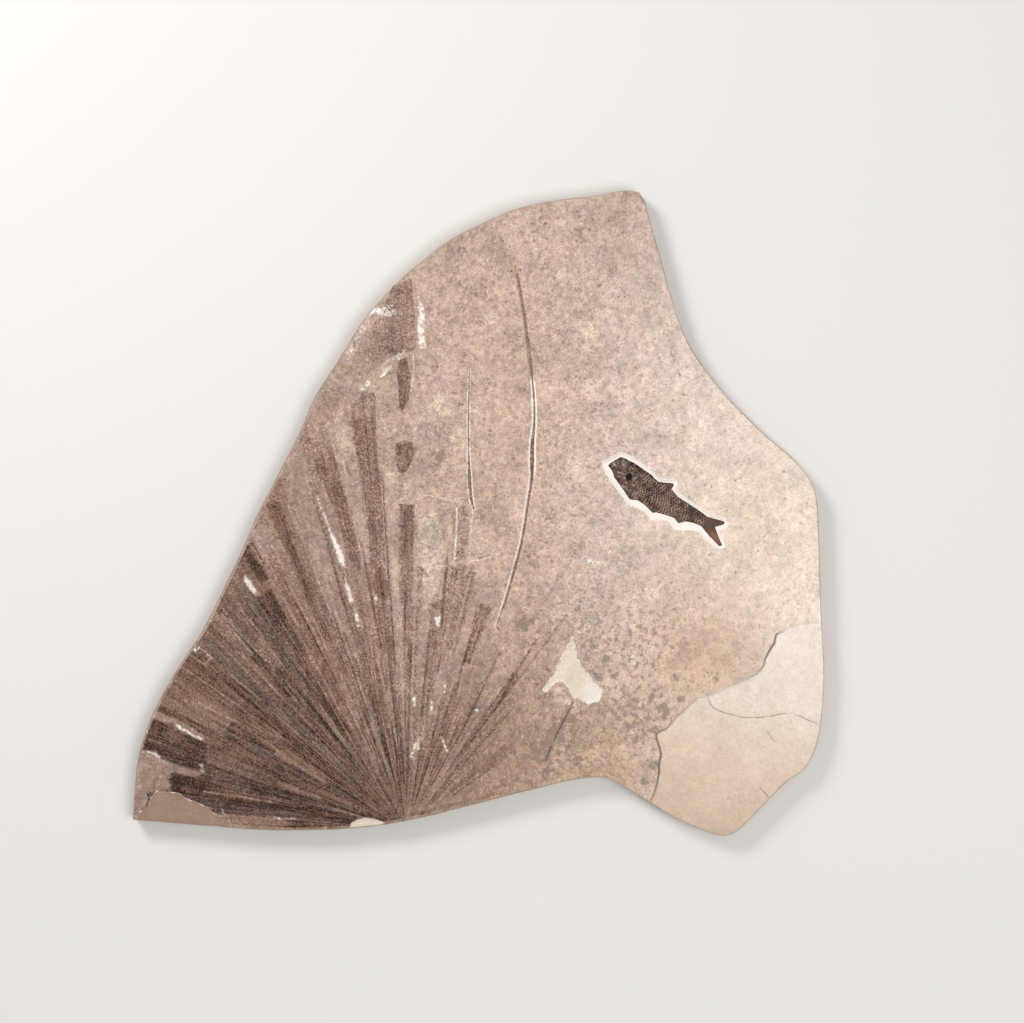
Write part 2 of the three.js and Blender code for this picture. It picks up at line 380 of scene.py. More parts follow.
# Fine triangles over the open face, coarse ones where the film of the frond covers it
spots = []
for spacing, below_frond in ((2.9, False), (7, True)):
    grid = hex_spots(outline.min(0), outline.max(0), spacing, 3)
    grid = grid[distance_to(grid, rim[::3]) > spacing * 0.6]
    covered = distance_to(grid, frond_ring) > 9
    spots.append(grid[covered == below_frond])
spots = clear_of(np.vstack(spots), np.vstack([line for line, _ in lines]), 1.3)
flat, faces, source, _ = triangulate(rim, lines, spots)

relief = undulation(flat)
# How far inside each kind of recess every point is
FAR_OUTSIDE = -50.0
shown = {kind: np.full(len(flat), FAR_OUTSIDE) for *_, kind in recesses}
for loop, (_, depth, wall, _, kind) in zip(recess_loops, recesses):
    within = distance_to(flat, loop)
    relief = np.minimum(relief, undulation(flat) - depth * smooth_step(within, 0, wall))
    shown[kind] = np.maximum(shown[kind], within)


NO_CHALK = -9.0


def scar_chalk(points):
    """How chalky the scars make each point: 2 is solid white, 0 broken, and -2 none."""
    chalk = np.full(len(points), NO_CHALK)
    for loop, (solid, _) in zip(scar_loops, SCARS):
        within = distance_to(points, loop)
        chalk = np.maximum(chalk, np.minimum(2.6 * within + 0.4, solid))
    return chalk


# Scars and flaked patches are shallow dents, and cracks are finer and deeper
scarred = scar_chalk(flat)
relief -= 0.25 * smooth_step(scarred, 0, 1.5)
relief -= 0.2 * smooth_step(within_any(flat, flaked_loops), 0, 1.5)
cracked = np.zeros(len(flat))
for middle, half in crack_lines:
    away = distance_to(flat, middle, closed=False)
    cracked = np.maximum(cracked, 1 - np.clip(away / half, 0, 1))
cracked *= smooth_step(lumps(flat, 13, 36, 2), -0.9, 0.1)
relief -= 0.5 * cracked

# The broken edge: laminae a few millimetres thick, each split off a little differently
BEDS = [21.9, 20.6, 18.7, 17.2, 14.8, 13.1, 10.4, 8.9, 6.3, 4.4, 2.2]
top_drop = np.zeros(len(rim))
for loop, (_, depth, wall, _, _) in zip(recess_loops, recesses):
    top_drop = np.maximum(top_drop, depth * smooth_step(distance_to(rim, loop), 0, wall))


def edge_row(depth_in, height):
    """A row of points round the edge, set in from the outline and at a height."""
    return np.column_stack([inset(outline, depth_in), np.broadcast_to(height, len(outline))])


rows = [edge_row(0.75 + 0.3 * lumps(outline, 14, 22), FACE - 0.45 - top_drop)]
for number, height in enumerate(BEDS):
    setback = 0.55 + 0.5 * lumps(outline, 46, 60 + number, 4)
    setback = np.clip(setback + 0.9 * smooth_step(lumps(outline, 90, 80 + number), 0.35, 0.6), 0, 3)
    wander = 0.35 * lumps(outline, 120, 100 + number)
    above = rows[-1][:, 2]
    if number:
        rows.append(edge_row(setback, above - 0.12))
    rows.append(edge_row(setback, np.minimum(height + wander, above - 0.3)))
rows.append(edge_row(1.1 + 0.3 * lumps(outline, 30, 23), 0.7))
rows.append(edge_row(2.3 + 0.5 * lumps(outline, 18, 24), 0.15))

# The back: a split surface with low terraces
back_rim = rows[-1][:, :2]
back_spots = hex_spots(outline.min(0), outline.max(0), 11, 4)
back_spots = back_spots[distance_to(back_spots, back_rim[::3]) > 5]
back_flat, back_faces, back_source, _ = triangulate(back_rim, [], back_spots)
terrace = lumps(back_flat, 130, 31, 4)
back_height = 0.15 + 0.35 * smooth_step(terrace, -0.1, 0.0) + 0.4 * smooth_step(terrace, 0.35, 0.42)
back_height = np.where(back_source < len(back_rim), 0.15, back_height)


def new_piece(name, points, faces, materials, which=None):
    """An object from points in millimetres and its faces, which may take several materials."""
    mesh = bpy.data.meshes.new(name)
    corners = [tuple(p) for p in np.asarray(points) * MM]
    mesh.from_pydata(corners, [], [list(map(int, face)) for face in faces])
    for material in materials:
        mesh.materials.append(material)
    if which is not None:
        mesh.polygons.foreach_set("material_index", np.asarray(which, np.int32))
    mesh.polygons.foreach_set("use_smooth", np.full(len(mesh.polygons), True))
    mesh.update()
    piece = bpy.data.objects.new(name, mesh)
    bpy.context.scene.collection.objects.link(piece)
    return piece


def paint(piece, name, values):
    """Store a number, or a colour, for each point of a piece, for its material to read."""
    values = np.asarray(values, np.float32)
    if values.ndim == 2:
        layer = piece.data.attributes.new(name, "FLOAT_COLOR", "POINT")
        values = np.column_stack([values, np.ones(len(values), np.float32)])
        layer.data.foreach_set("color", values.ravel())
    else:
        layer = piece.data.attributes.new(name, "FLOAT", "POINT")
        layer.data.foreach_set("value", values)


def add(tree, kind, inputs=None, output=0, **settings):
    """Add a node with its settings, set or link its sockets, and give one of its outputs."""
    made = tree.nodes.new("ShaderNode" + kind)
    for name, value in settings.items():
        setattr(made, name, value)
    for socket, value in (inputs or {}).items():
        if isinstance(value, bpy.types.NodeSocket):
            tree.links.new(value, made.inputs[socket])
        else:
            made.inputs[socket].default_value = value
    return made.outputs[output] if made.outputs else None


def new_material(name):
    material = bpy.data.materials.new(name)
    material.use_nodes = True
    material.node_tree.nodes.clear()
    return material, material.node_tree


def grain(tree, place, size, low, high, detail=3.0, roughness=0.6, about=0.0):
    """Noise with lumps of a size in millimetres, stretched to run from low to high."""
    noise = add(tree, "TexNoise", {
        "Vector": place, "W": about, "Scale": 1 / (size * MM), "Detail": detail,
        "Roughness": roughness}, noise_dimensions="4D")
    return add(tree, "MapRange", {0: noise, 1: 0.3, 2: 0.7, 3: low, 4: high})


def stone_pattern(tree):
    """Limestone as it looks on a bedding plane: the colour and the height of its grain.

    Grit a couple of millimetres across, brown specks where the film of a bedding plane is
    left, pale flecks where it is gone, and slow clouds between rose and tan.
    """
    place = add(tree, "TexCoord", output="Object")
    stain = add(tree, "Attribute", output="Color", attribute_name="stain")
    calm = add(tree, "Attribute", output="Fac", attribute_name="calm")
    lively = add(tree, "Math", {0: 1.0, 1: calm}, operation="SUBTRACT")
    grit = grain(tree, place, 2.6, 0.66, 1.34, 3.0, 0.75)
    mottle = grain(tree, place, 9.0, 0.72, 1.28, 4.0, 0.7, 1.0)
    cloud = grain(tree, place, 32.0, 0.76, 1.24, 4.0, 0.65, 2.0)
    light = add(tree, "Math", {0: grit, 1: mottle}, operation="MULTIPLY")
    light = add(tree, "Math", {0: light, 1: cloud}, operation="MULTIPLY")
    light = add(tree, "Mix", {0: calm, 2: light, 3: 1.0})
    hue = grain(tree, place, 34.0, 0.0, 1.0, 4.0, 0.6, 3.0)
    rose, tan = (1.0, 0.965, 1.03, 1.0), (1.015, 1.0, 0.91, 1.0)
    hue = add(tree, "Mix", {0: hue, 6: rose, 7: tan}, 2, data_type="RGBA")
    tinted = add(tree, "Mix", {0: 1.0, 6: stain, 7: hue}, 2, data_type="RGBA", blend_type="MULTIPLY")
    colour = add(tree, "Mix", {0: lively, 6: stain, 7: tinted}, 2, data_type="RGBA")
    colour = add(tree, "VectorMath", {0: colour, 3: light}, operation="SCALE")
    # Brown specks of film gather in places, and pale flecks lie all over
    speck = grain(tree, place, 3.8, 0.0, 1.0, 3.0, 0.75, 4.0)
    speck = add(tree, "MapRange", {0: speck, 1: 0.5, 2: 0.85}, interpolation_type="SMOOTHSTEP")
    patchy = grain(tree, place, 17.0, -0.2, 1.0, 3.0, 0.6, 5.0)
    speck = add(tree, "Math", {0: speck, 1: patchy}, operation="MULTIPLY")
    speck = add(tree, "Math", {0: speck, 1: lively}, operation="MULTIPLY")
    brown = add(tree, "Mix", {0: 1.0, 6: colour, 7: linear("b59b8b")}, 2, data_type="RGBA",
                blend_type="MULTIPLY")
    colour = add(tree, "Mix", {0: speck, 6: colour, 7: brown}, 2, data_type="RGBA")
    fleck = grain(tree, place, 4.6, 0.0, 1.0, 3.0, 0.75, 6.0)
    fleck = add(tree, "MapRange", {0: fleck, 1: 0.7, 2: 1.0, 4: 0.6}, interpolation_type="SMOOTHSTEP")
    fleck = add(tree, "Math", {0: fleck, 1: lively}, operation="MULTIPLY")
    colour = add(tree, "Mix", {0: fleck, 6: colour, 7: linear("eee0d2")}, 2, data_type="RGBA")
    # Blotches of brown and grey film lie scattered about the foot of the frond
    litter = add(tree, "Attribute", output="Fac", attribute_name="litter")
    scatter = grain(tree, place, 8.0, -0.85, 0.45, 5.0, 0.75, 8.0)
    litter = add(tree, "Math", {0: litter, 1: scatter}, operation="ADD")
    litter = add(tree, "MapRange", {0: litter, 1: 0.0, 2: 0.35, 4: 0.7},
                 interpolation_type="SMOOTHSTEP")
    greyness = grain(tree, place, 26.0, 0.0, 1.0, 2.0, 0.5, 9.0)
    blotch = add(tree, "Mix", {0: greyness, 6: linear("8d7362"), 7: linear("877a76")}, 2,
                 data_type="RGBA")
    colour = add(tree, "Mix", {0: litter, 6: colour, 7: blotch}, 2, data_type="RGBA")
    # Chalk shows where the surface is scratched, flaked or carved away
    chalk = add(tree, "Attribute", output="Fac", attribute_name="chalk")
    crumbs = grain(tree, place, 5.0, -2.6, 2.6, 4.0, 0.75, 7.0)
    chalk = add(tree, "Math", {0: chalk, 1: crumbs}, operation="ADD")
    chalk = add(tree, "MapRange", {0: chalk, 1: -0.5, 2: 1.9}, interpolation_type="SMOOTHSTEP")
    colour = add(tree, "Mix", {0: chalk, 6: colour, 7: linear("faf1e8")}, 2, data_type="RGBA")
    # Dark cracks, and painted shadow along the step to the low bed and by the long blade
    crack_and_shadow = add(tree, "Attribute", output="Fac", attribute_name="crack_and_shadow")
    crack_and_shadow = add(tree, "MapRange", {0: crack_and_shadow, 1: 0.15, 2: 0.75, 4: 0.85},
                interpolation_type="SMOOTHSTEP")
    colour = add(tree, "Mix", {0: crack_and_shadow, 6: colour, 7: linear("503b30")}, 2, data_type="RGBA")
    height = add(tree, "Math", {0: grit, 1: mottle}, operation="ADD")
    return colour, height


def finish_surface(tree, colour, height, roughness, relief_mm, specular=0.12):
    """A rough mineral surface with fine relief, and the material's output."""
    normal = add(tree, "Bump", {"Height": height, "Strength": 0.6, "Distance": relief_mm * MM})
    shader = add(tree, "BsdfPrincipled", {
        "Base Color": colour, "Roughness": roughness, "Specular IOR Level": specular,
        "IOR": 1.5, "Normal": normal})
    add(tree, "OutputMaterial", {"Surface": shader})


# Split limestone: a dull, finely mottled bedding plane, brushed clean and left unpolished
split_limestone, tree = new_material("split_limestone_face")
finish_surface(tree, *stone_pattern(tree), 0.85, 0.35)

# Broken limestone: the edge, where thin beds of buff and brown show one above the other
broken_limestone, tree = new_material("broken_limestone_edge")
place = add(tree, "TexCoord", output="Object")
laid = add(tree, "Mapping", {"Vector": place, "Scale": (0.03, 0.03, 1.0)})
layer = grain(tree, laid, 1.5, 0.0, 1.0, 3.0, 0.6)
layer = add(tree, "Mix", {0: layer, 6: linear("a88f7c"), 7: linear("d8c7b4")}, 2, data_type="RGBA")
stain = add(tree, "Attribute", output="Color", attribute_name="stain")
stained = add(tree, "Mix", {0: 1.0, 6: stain, 7: linear("d0c4bc")}, 2, data_type="RGBA",
              blend_type="MULTIPLY")
colour = add(tree, "Mix", {0: 0.5, 6: layer, 7: stained}, 2, data_type="RGBA")
grit = grain(tree, place, 1.6, 0.82, 1.18, 3.0, 0.7, 1.0)
cloud = grain(tree, place, 14.0, 0.88, 1.12, 3.0, 0.6, 2.0)
light = add(tree, "Math", {0: grit, 1: cloud}, operation="MULTIPLY")
colour = add(tree, "VectorMath", {0: colour, 3: light}, operation="SCALE")
finish_surface(tree, colour, light, 0.9, 0.6)

# Limestone back: an even, dusty split face with no film on it
back_limestone, tree = new_material("split_limestone_back")
place = add(tree, "TexCoord", output="Object")
grit = grain(tree, place, 2.2, 0.85, 1.15, 3.0, 0.7)
cloud = grain(tree, place, 40.0, 0.86, 1.14, 4.0, 0.65, 1.0)
light = add(tree, "Math", {0: grit, 1: cloud}, operation="MULTIPLY")
hue = grain(tree, place, 90.0, 0.0, 1.0, 3.0, 0.6, 2.0)
colour = add(tree, "Mix", {0: hue, 6: linear("b5a08c"), 7: linear("d3c3ae")}, 2, data_type="RGBA")
colour = add(tree, "VectorMath", {0: colour, 3: light}, operation="SCALE")
finish_surface(tree, colour, light, 0.9, 0.5)


# Blotches of loose film: place, and how far each spreads
BLOTCHES = [
    (240, -257, 12), (262, -240, 8), (224, -241, 6), (230, -281, 5), (228, -328, 7),
    (215, -350, 5), (167, -189, 8), (158, -212, 7), (176, -214, 6), (307, -212, 8),
    (258, -215, 5), (56, -142, 11), (99, -290, 13), (106, -312, 9), (76, -315, 10),
    (120, -268, 7), (88, -338, 8), (140, -120, 6), (-50, 78, 8), (130, -322, 6),
]

# A brown stain along a closed split below the middle patch
SPLIT = [(120, -252), (108, -274), (98, -296), (87, -322)]


def littered(points):
    """How much loose film lies about: most below the patch and by the edge of the low bed."""
    amount = np.zeros(len(points))
    for x, y, reach, most in ((95, -285, 80, 0.3), (200, -262, 55, 0.36), (140, -160, 65, 0.3),
                              (215, -170, 60, 0.26), (40, -330, 60, 0.28), (-60, 60, 55, 0.2),
                              (-60, -40, 50, 0.2), (250, 180, 60, 0.06)):
        amount = np.maximum(amount, most * nearness(points, x, y, reach))
    stain = distance_to(points, SPLIT, closed=False) + 2.2 * lumps(points, 8, 92, 3)
    amount = np.maximum(amount, 1.1 * (1 - smooth_step(stain, 0.6, 2.6)))
    for x, y, reach in BLOTCHES:
        away = np.hypot(points[:, 0] - x, points[:, 1] - y) + 0.7 * reach * lumps(points, 9, 90, 3)
        amount = np.maximum(amount, 0.66 * (1 - smooth_step(away, 0.6 * reach, 1.3 * reach)))
    return amount


# The low bed at the right, from its foot up to its pale upper end, the paling partly painted light that
# brightens it towards the upper right
BED_PALING_WITH_PAINTED_LIGHT = [(-415, "d2bba7"), (-330, "e0cab6"), (-240, "e8dacb"), (-150, "f3e7da")]


def bare_tint(points, in_bed):
    """The tint of the face, or of the plain lower beds where those show."""
    slant = points[:, 1] + 0.35 * (points[:, 0] - 330)
    bed = paling(slant + 14 * lumps(points, 60, 91, 3), BED_PALING_WITH_PAINTED_LIGHT)
    for x, y, reach, code in ((118, -205, 60, "e7d8c6"), (152, -236, 16, "ece4dd"),
                              (-385, -385, 90, "9d8474"), (-145, -400, 60, "e2d3c2")):
        near = np.hypot(points[:, 0] - x, points[:, 1] - y) < reach
        bed[near] = linear(code)[:3]
    face = stone_and_light_tint(points)
    for loop in flaked_loops:
        bare = smooth_step(distance_to(points, loop) + 2.5 * lumps(points, 6, 79), -2, 2)
        face = toward(face, 0.55 * bare, "e0ccb6")
    return np.where(in_bed[:, None], bed, face)


# One mesh: the face, the rows of the edge, and the back
face_points = np.column_stack([flat, FACE + relief])
count = len(outline)


def rim_numbers(source):
    """The number that each point of a rim has in the mesh made from it."""
    numbers = np.zeros(count, int)
    on_rim = (source >= 0) & (source < count)
    numbers[source[on_rim]] = np.flatnonzero(on_rim)
    return numbers


first_row = len(face_points)
back_start = first_row + (len(rows) - 1) * count
points = np.vstack([face_points, *rows[:-1], np.column_stack([back_flat, back_height])])
row_numbers = [rim_numbers(source)]
row_numbers += [first_row + n * count + np.arange(count) for n in range(len(rows) - 1)]
row_numbers += [back_start + rim_numbers(back_source)]
edge_faces = []
for upper, lower in zip(row_numbers, row_numbers[1:]):
    edge_faces.append(np.column_stack([upper, lower, np.roll(lower, -1), np.roll(upper, -1)]))
edge_faces = np.vstack(edge_faces)
all_faces = [*faces, *edge_faces, *(back_start + back_faces[:, ::-1])]
which = [0] * len(faces) + [1] * len(edge_faces) + [2] * len(back_faces)
slab = new_piece("limestone_slab", points, all_faces,
                 [split_limestone, broken_limestone, back_limestone], which)
# The broken edge keeps its sharp facets
slab.data.polygons.foreach_set("use_smooth", np.array(which) != 1)
in_bed = np.full(len(points), False)
in_bed[:first_row] = np.maximum(shown["bed"], shown["flake"]) > 0

# Chalk: in the scars, all over the trench, beside the blades and along the rims of the flakes
chalk = np.full(len(points), NO_CHALK)
blade_ring = cad_rings("long_leaf_blade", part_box("long_leaf_blade")[0].z / MM)[0]
blade_ring = blade_ring[np.argsort(blade_ring[:, 1])]
right_of_blade = flat[:, 0] > np.interp(flat[:, 1], blade_ring[:, 1], blade_ring[:, 0])
# The needle has left more chalk on the left of the long blade, and none by its upper end
worked = np.where(right_of_blade, smooth_step(flat[:, 1], 20, 60), 1) * (
    1 - smooth_step(flat[:, 1], 165, 195))
gaps = 1.2 * smooth_step(lumps(flat, 10, 33), 0.1, 0.6)
freed = np.maximum(
    np.minimum(2.6 * (shown["short groove"] + 0.8 - gaps), 1.5),
    np.minimum(2.6 * ((shown["long groove"] + 0.9) * worked - 3 * (1 - worked)), 2.6))
chalk[:first_row] = np.maximum.reduce([
    scarred, np.minimum(3 * (shown["trench"] + 0.9), 5), freed,
    1.1 - 1.6 * np.abs(shown["flake"] - 0.2)])
for middle, half in pale_lines:
    away = distance_to(flat, middle, closed=False)
    chalk[:first_row] = np.maximum(chalk[:first_row], 1.1 - 2.0 * away / half)

crack_and_shadow_paint = np.zeros(len(points))
# Painted shadow: the step down to the low bed gets a dark line in two stretches, faint between them
step_shadow = np.full(len(flat), 0.35)
for x, y, reach in ((383, -172, 50), (228, -318, 65)):
    step_shadow += 0.8 * nearness(flat, x, y, reach)
step_shadow *= 1 - smooth_step(flat[:, 0], 385, 405)
# Dark in the cracks, with painted shadow along the step to the low bed and a painted shadow line by the
# upper end of the long blade
crack_and_shadow_paint[:first_row] = np.maximum.reduce([
    cracked, 0.55 * (np.abs(shown["bed"] - 0.6) < 0.8) * step_shadow,
    0.4 * smooth_step(shown["long groove"], -1, 0) * smooth_step(flat[:, 1], 165, 195)])

# The edge is darker where the frond was trimmed across with the stone
under_leaf = smooth_step(distance_to(points[:, :2], frond_ring), -22, -12)
darkened = 1 - 0.5 * under_leaf * (np.arange(len(points)) >= first_row)
# The stain attribute holds the face's tint: its stains, its paler beds and flakes, and painted light
# that brightens the face towards the right
paint(slab, "stain", bare_tint(points[:, :2], in_bed) * darkened[:, None])
quiet = 0.46 * smooth_step(points[:, 0], 90, 380)
paint(slab, "calm", np.where(in_bed, 0.72, quiet))
paint(slab, "chalk", chalk)
paint(slab, "litter", littered(points[:, :2]) - in_bed)
paint(slab, "crack_and_shadow", crack_and_shadow_paint)
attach(slab, "root")
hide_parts("stone_slab")

# ------------------------------------------------------------------------------------------
# Fan palm frond
# One costapalmate leaf pressed flat: some sixty folded leaflets spread from the end of the
# stalk at the lower edge. It survives as a thin carbon film bonded to the stone, whole on
# some leaflets and on others flaked down to the bare bedding plane.
# ------------------------------------------------------------------------------------------
STALK = np.array([-93.0, -413.0])
# Where each leaflet begins round the fan, in degrees, from the left edge over to the right
LEAFLETS = [181, 175, 170.5, 166, 164, 163, 160.5, 158.5, 156, 153, 150.5, 147, 144, 140.5, 138.5,
            135, 133, 130.5, 129.5, 127, 124.5, 123, 121, 119, 117.5, 115.5, 113, 111.5, 109.5,
            108, 105.5, 104, 102.5, 101, 99.5, 97.5, 96, 94, 91.5, 90.5, 88.5, 86.5, 84, 82,
            80.5, 78.5, 76, 74, 71.5, 69.5, 66.5, 63.5, 61, 58, 55, 53, 49.5, 46.5, 43, 37,
            31.5, 25.5, 12]
# How the film has worn: the angle, then what is left near the stalk, half way out and at the
# tips. It is thickest low on the left, thins upwards, and on the right ends half way out.
WEAR_AT = (90, 230, 400)
WEAR = [
    (180, 0.62, 0.62, 0.50), (168, 0.80, 0.96, 0.70), (155, 0.68, 0.62, 0.54),
    (140, 0.68, 0.68, 0.57), (122, 0.58, 0.54, 0.40), (113, 0.55, 0.48, 0.34),
    (104, 0.50, 0.30, 0.15),
    (92, 0.44, 0.16, 0.05), (78, 0.38, 0.09, 0.0), (52, 0.35, 0.11, 0.0), (36, 0.28, 0.05, 0.0),
    (12, 0.20, 0.0, 0.0),
]
# How much film a torn piece has kept
KEPT = {"whole": 0.84, "dark": 0.60, "half": 0.40, "part": 0.36, "thin": 0.24, "faint": 0.14,
        "gone": 0.02}
# Torn pieces that stand out: what is left, angle from and to, distance from and to. A later
# piece lies over an earlier one.
TORN = [
    ("whole", 170.5, 162, 200, 266), ("dark", 162, 156.5, 186, 264), ("dark", 56.5, 53.5, 90, 200),
    ("half", 56.5, 53, 200, 250), ("half", 153, 146.5, 268, 370), ("part", 129.5, 126.5, 270, 316),
    ("dark", 126.5, 119, 262, 362), ("whole", 123, 119.5, 316, 361), ("whole", 121, 118, 373, 426),
    ("faint", 118, 113.5, 402, 442), ("dark", 113.5, 111, 266, 462), ("gone", 100, 97.5, 352, 532),
    ("part", 97.8, 94, 190, 548), ("gone", 94, 91.5, 259, 326), ("gone", 94, 91.5, 436, 472),
    ("half", 90, 88, 196, 246), ("gone", 88.5, 82, 300, 433), ("part", 80.5, 78, 281, 350),
    ("thin", 87.8, 86.3, 200, 345), ("thin", 82.5, 80.4, 240, 347), ("thin", 80.4, 78.5, 240, 336),
    ("half", 79.5, 77.5, 208, 236), ("half", 72, 69, 230, 312), ("faint", 59.5, 58.5, 328, 430),
    ("thin", 54, 53, 240, 350), ("half", 84, 81, 150, 300), ("dark", 147, 141, 205, 300),
    ("dark", 138.5, 136, 120, 235), ("whole", 132, 130.5, 230, 305), ("thin", 150.5, 148, 120, 200),
    ("thin", 160.5, 158.5, 120, 180), ("half", 109.5, 107, 150, 270),
]
# Pieces of other shapes, as what is left and the corners by angle and distance
SHAPED = [
    ("half", [(104.2, 500), (104, 477), (103, 437), (102.5, 386), (102, 360), (100, 338),
              (99.5, 360), (99.5, 386), (100, 437), (100.5, 477), (101.2, 506)]),
    ("thin", [(104.2, 500), (104.4, 528), (103, 518), (102, 538), (101.2, 506)]),
    ("part", [(91.5, 420), (92, 330), (91.5, 240), (89, 240), (88.5, 330), (88.5, 420)]),
    ("half", [(91.8, 424), (91.8, 390), (88.6, 372), (88.7, 424), (89.4, 440), (90.3, 444),
              (91.2, 438)]),
    ("thin", [(97.6, 540), (97.4, 570), (96.6, 560), (95.6, 578), (94.8, 570), (94, 586), (94, 540)]),
    ("half", [(91, 312), (90.5, 268), (89.5, 268), (89.5, 300), (90, 318)]),
    ("thin", [(78.5, 240), (78.5, 334), (77.8, 362), (77.2, 340), (76.6, 350), (75.9, 376), (75.3, 346),
              (74.7, 354), (74.5, 240)]),
]
# Low at the left, where the broad leaflets broke up: what is left and the corners in millimetres
BROKEN = [
    ("faint", [(-425, -254), (-380, -272), (-355, -289), (-357, -297), (-399, -275), (-425, -266)]),
    ("whole", [(-430, -266), (-399, -275), (-357, -297), (-350, -312), (-355, -332), (-361, -335),
               (-381, -331), (-415, -317), (-445, -308)]),
    ("faint", [(-446, -308), (-415, -318), (-381, -332), (-357, -337), (-364, -343), (-380, -341),
               (-400, -338), (-402, -346), (-399, -362), (-422, -362), (-452, -370)]),
    ("whole", [(-399, -339), (-380, -342), (-356, -341), (-354, -374), (-379, -368), (-398, -361)]),
    ("whole", [(-352, -326), (-318, -334), (-284, -350), (-292, -360), (-330, -354), (-355, -358)]),
    ("part", [(-345, -388), (-300, -392), (-262, -394), (-240, -404), (-262, -412), (-322, -410)]),
]
# Slivers where the film has lifted off with some stone, leaving white chalk: corners in
# millimetres on the slab
CHALKY = [
    [(-210, 22), (-203, 8), (-195, -12), (-188, -28), (-180, -43), (-174, -56), (-172, -72),
     (-178, -70), (-184, -59), (-188, -46), (-193, -30), (-200, -9), (-208, 11)],
    [(-173, -86), (-168, -94), (-164, -106), (-162, -116), (-168, -116), (-172, -103), (-174, -93)],
    [(-161, -122), (-156, -132), (-153, -147), (-158, -148), (-161, -137), (-162, -127)],
    [(-304, -80), (-298, -86), (-291, -95), (-284, -106), (-292, -106), (-300, -97), (-306, -87)],
    [(-134, -105), (-130, -110), (-133, -115), (-136, -110)],
    [(-372, -172), (-364, -177), (-368, -181), (-373, -177)],
    [(-438, -307), (-420, -310), (-414, -315), (-415, -320), (-421, -316), (-438, -312)],
    [(-395, -272), (-384, -278), (-372, -285), (-357, -292), (-356, -297), (-372, -291), (-386, -283),
     (-396, -277)],
    [(-362, -326), (-358, -325), (-356, -338), (-361, -337)],
    [(-266, -394), (-252, -396), (-237, -396), (-238, -399), (-254, -399), (-266, -397)],
    [(-58, -135), (-48, -132), (-49, -146), (-55, -150)],
    [(-80, -292), (-76, -294), (-76, -308), (-80, -310)],
    [(-50, -291), (-46, -292), (-39, -310), (-42, -312)],
    [(-90, -317), (-84, -300), (-80, -296), (-82, -307), (-86, -319)],
    [(-86, -238), (-81, -236), (-81, -251), (-85, -251)],
    [(-63, -244), (-59, -243), (-59, -259), (-63, -259)],
    [(-46, -221), (-42, -223), (-43, -235), (-47, -233)],
    [(-5, -255), (-1, -254), (0, -260), (-4, -262)],
]
# Torn patches that show the pale bed: corners by angle and distance, and how solid the chalk is
CREAM = [
    ([(94, 400), (94, 262), (92, 262), (92, 380)], -0.9),
    ([(88.5, 420), (88.5, 300), (85.5, 280), (83, 300), (82.5, 400), (85, 424)], -0.9),
    ([(115, 440), (115, 404), (118, 404), (118, 436)], -0.9),
    ([(99.5, 528), (99.5, 380), (98, 372), (98, 520)], -1.3),
    ([(77.5, 296), (77, 262), (75.5, 266), (76, 296)], -1.1),
]
# Fine lines: angle and distance at each end, half width, and whether dark or pale
FINE_LINES = [
    ((144, 366), (143.5, 290), 0.7, "pale"), ((130.5, 370), (129.5, 270), 0.8, "pale"),
    ((110, 452), (109, 262), 0.7, "pale"), ((101, 542), (99.5, 372), 0.8, "pale"),
    ((97.5, 482), (97.5, 380), 0.8, "pale"), ((141, 366), (140.5, 339), 0.8, "pale"),
    ((138.5, 366), (138.5, 339), 0.8, "pale"), ((140.5, 340), (138.5, 340), 0.9, "pale"),
    ((85, 295), (81.5, 286), 1.1, "pale"), ((169, 268), (168, 180), 0.8, "pale"),
    ((127, 362), (126.5, 320), 0.8, "pale"), ((118.5, 420), (118, 300), 0.6, "pale"),
    ((148.5, 318), (147.5, 262), 0.8, "pale"), ((98.5, 180), (96.5, 110), 0.8, "pale"),
    ((88, 170), (86, 100), 0.8, "pale"), ((82.5, 200), (80, 120), 0.8, "pale"),
    ((92.5, 250), (91.5, 150), 0.8, "pale"), ((94, 560), (94.5, 330), 0.6, "pale"),
    ((88.5, 430), (88.5, 330), 0.6, "pale"),
    ((153.5, 358), (154.5, 290), 1.3, "dark"), ((130.5, 318), (128, 150), 1.4, "dark"),
    ((82, 414), (80.5, 268), 1.0, "dark"), ((94, 574), (94, 217), 0.9, "dark"),
    ((99, 380), (98, 240), 1.0, "dark"), ((139, 300), (137, 170), 0.9, "dark"),
    ((124.5, 300), (123.5, 140), 0.9, "dark"), ((116, 330), (115, 180), 0.8, "dark"),
    ((109, 300), (108.5, 150), 0.8, "dark"), ((72.5, 300), (70.5, 190), 0.8, "dark"),
    ((62.5, 250), (60.5, 130), 1.3, "dark"), ((56, 300), (54.5, 200), 0.9, "dark"),
]


def fan(marks):
    """Places given by their angle in degrees and distance from the end of the stalk."""
    angle, reach = np.array(marks, float).T
    angle = np.radians(angle)
    return STALK + reach[:, None] * np.stack([np.cos(angle), np.sin(angle)], axis=1)


def leaflet_marks(points):
    """For each point its angle and distance in the fan, its leaflet, and how far across it."""
    away = points - STALK
    angle, reach = np.degrees(np.arctan2(away[:, 1], away[:, 0])), np.hypot(*away.T)
    starts = np.array(LEAFLETS + [0.0])
    wandered = angle + 0.3 * lumps(points, 70, 51, 2)
    number = np.clip(np.searchsorted(-starts, -wandered) - 1, 0, len(LEAFLETS) - 1)
    across = (starts[number] - wandered) / (starts[number] - starts[number + 1])
    return angle, reach, number, np.clip(across, 0, 1)


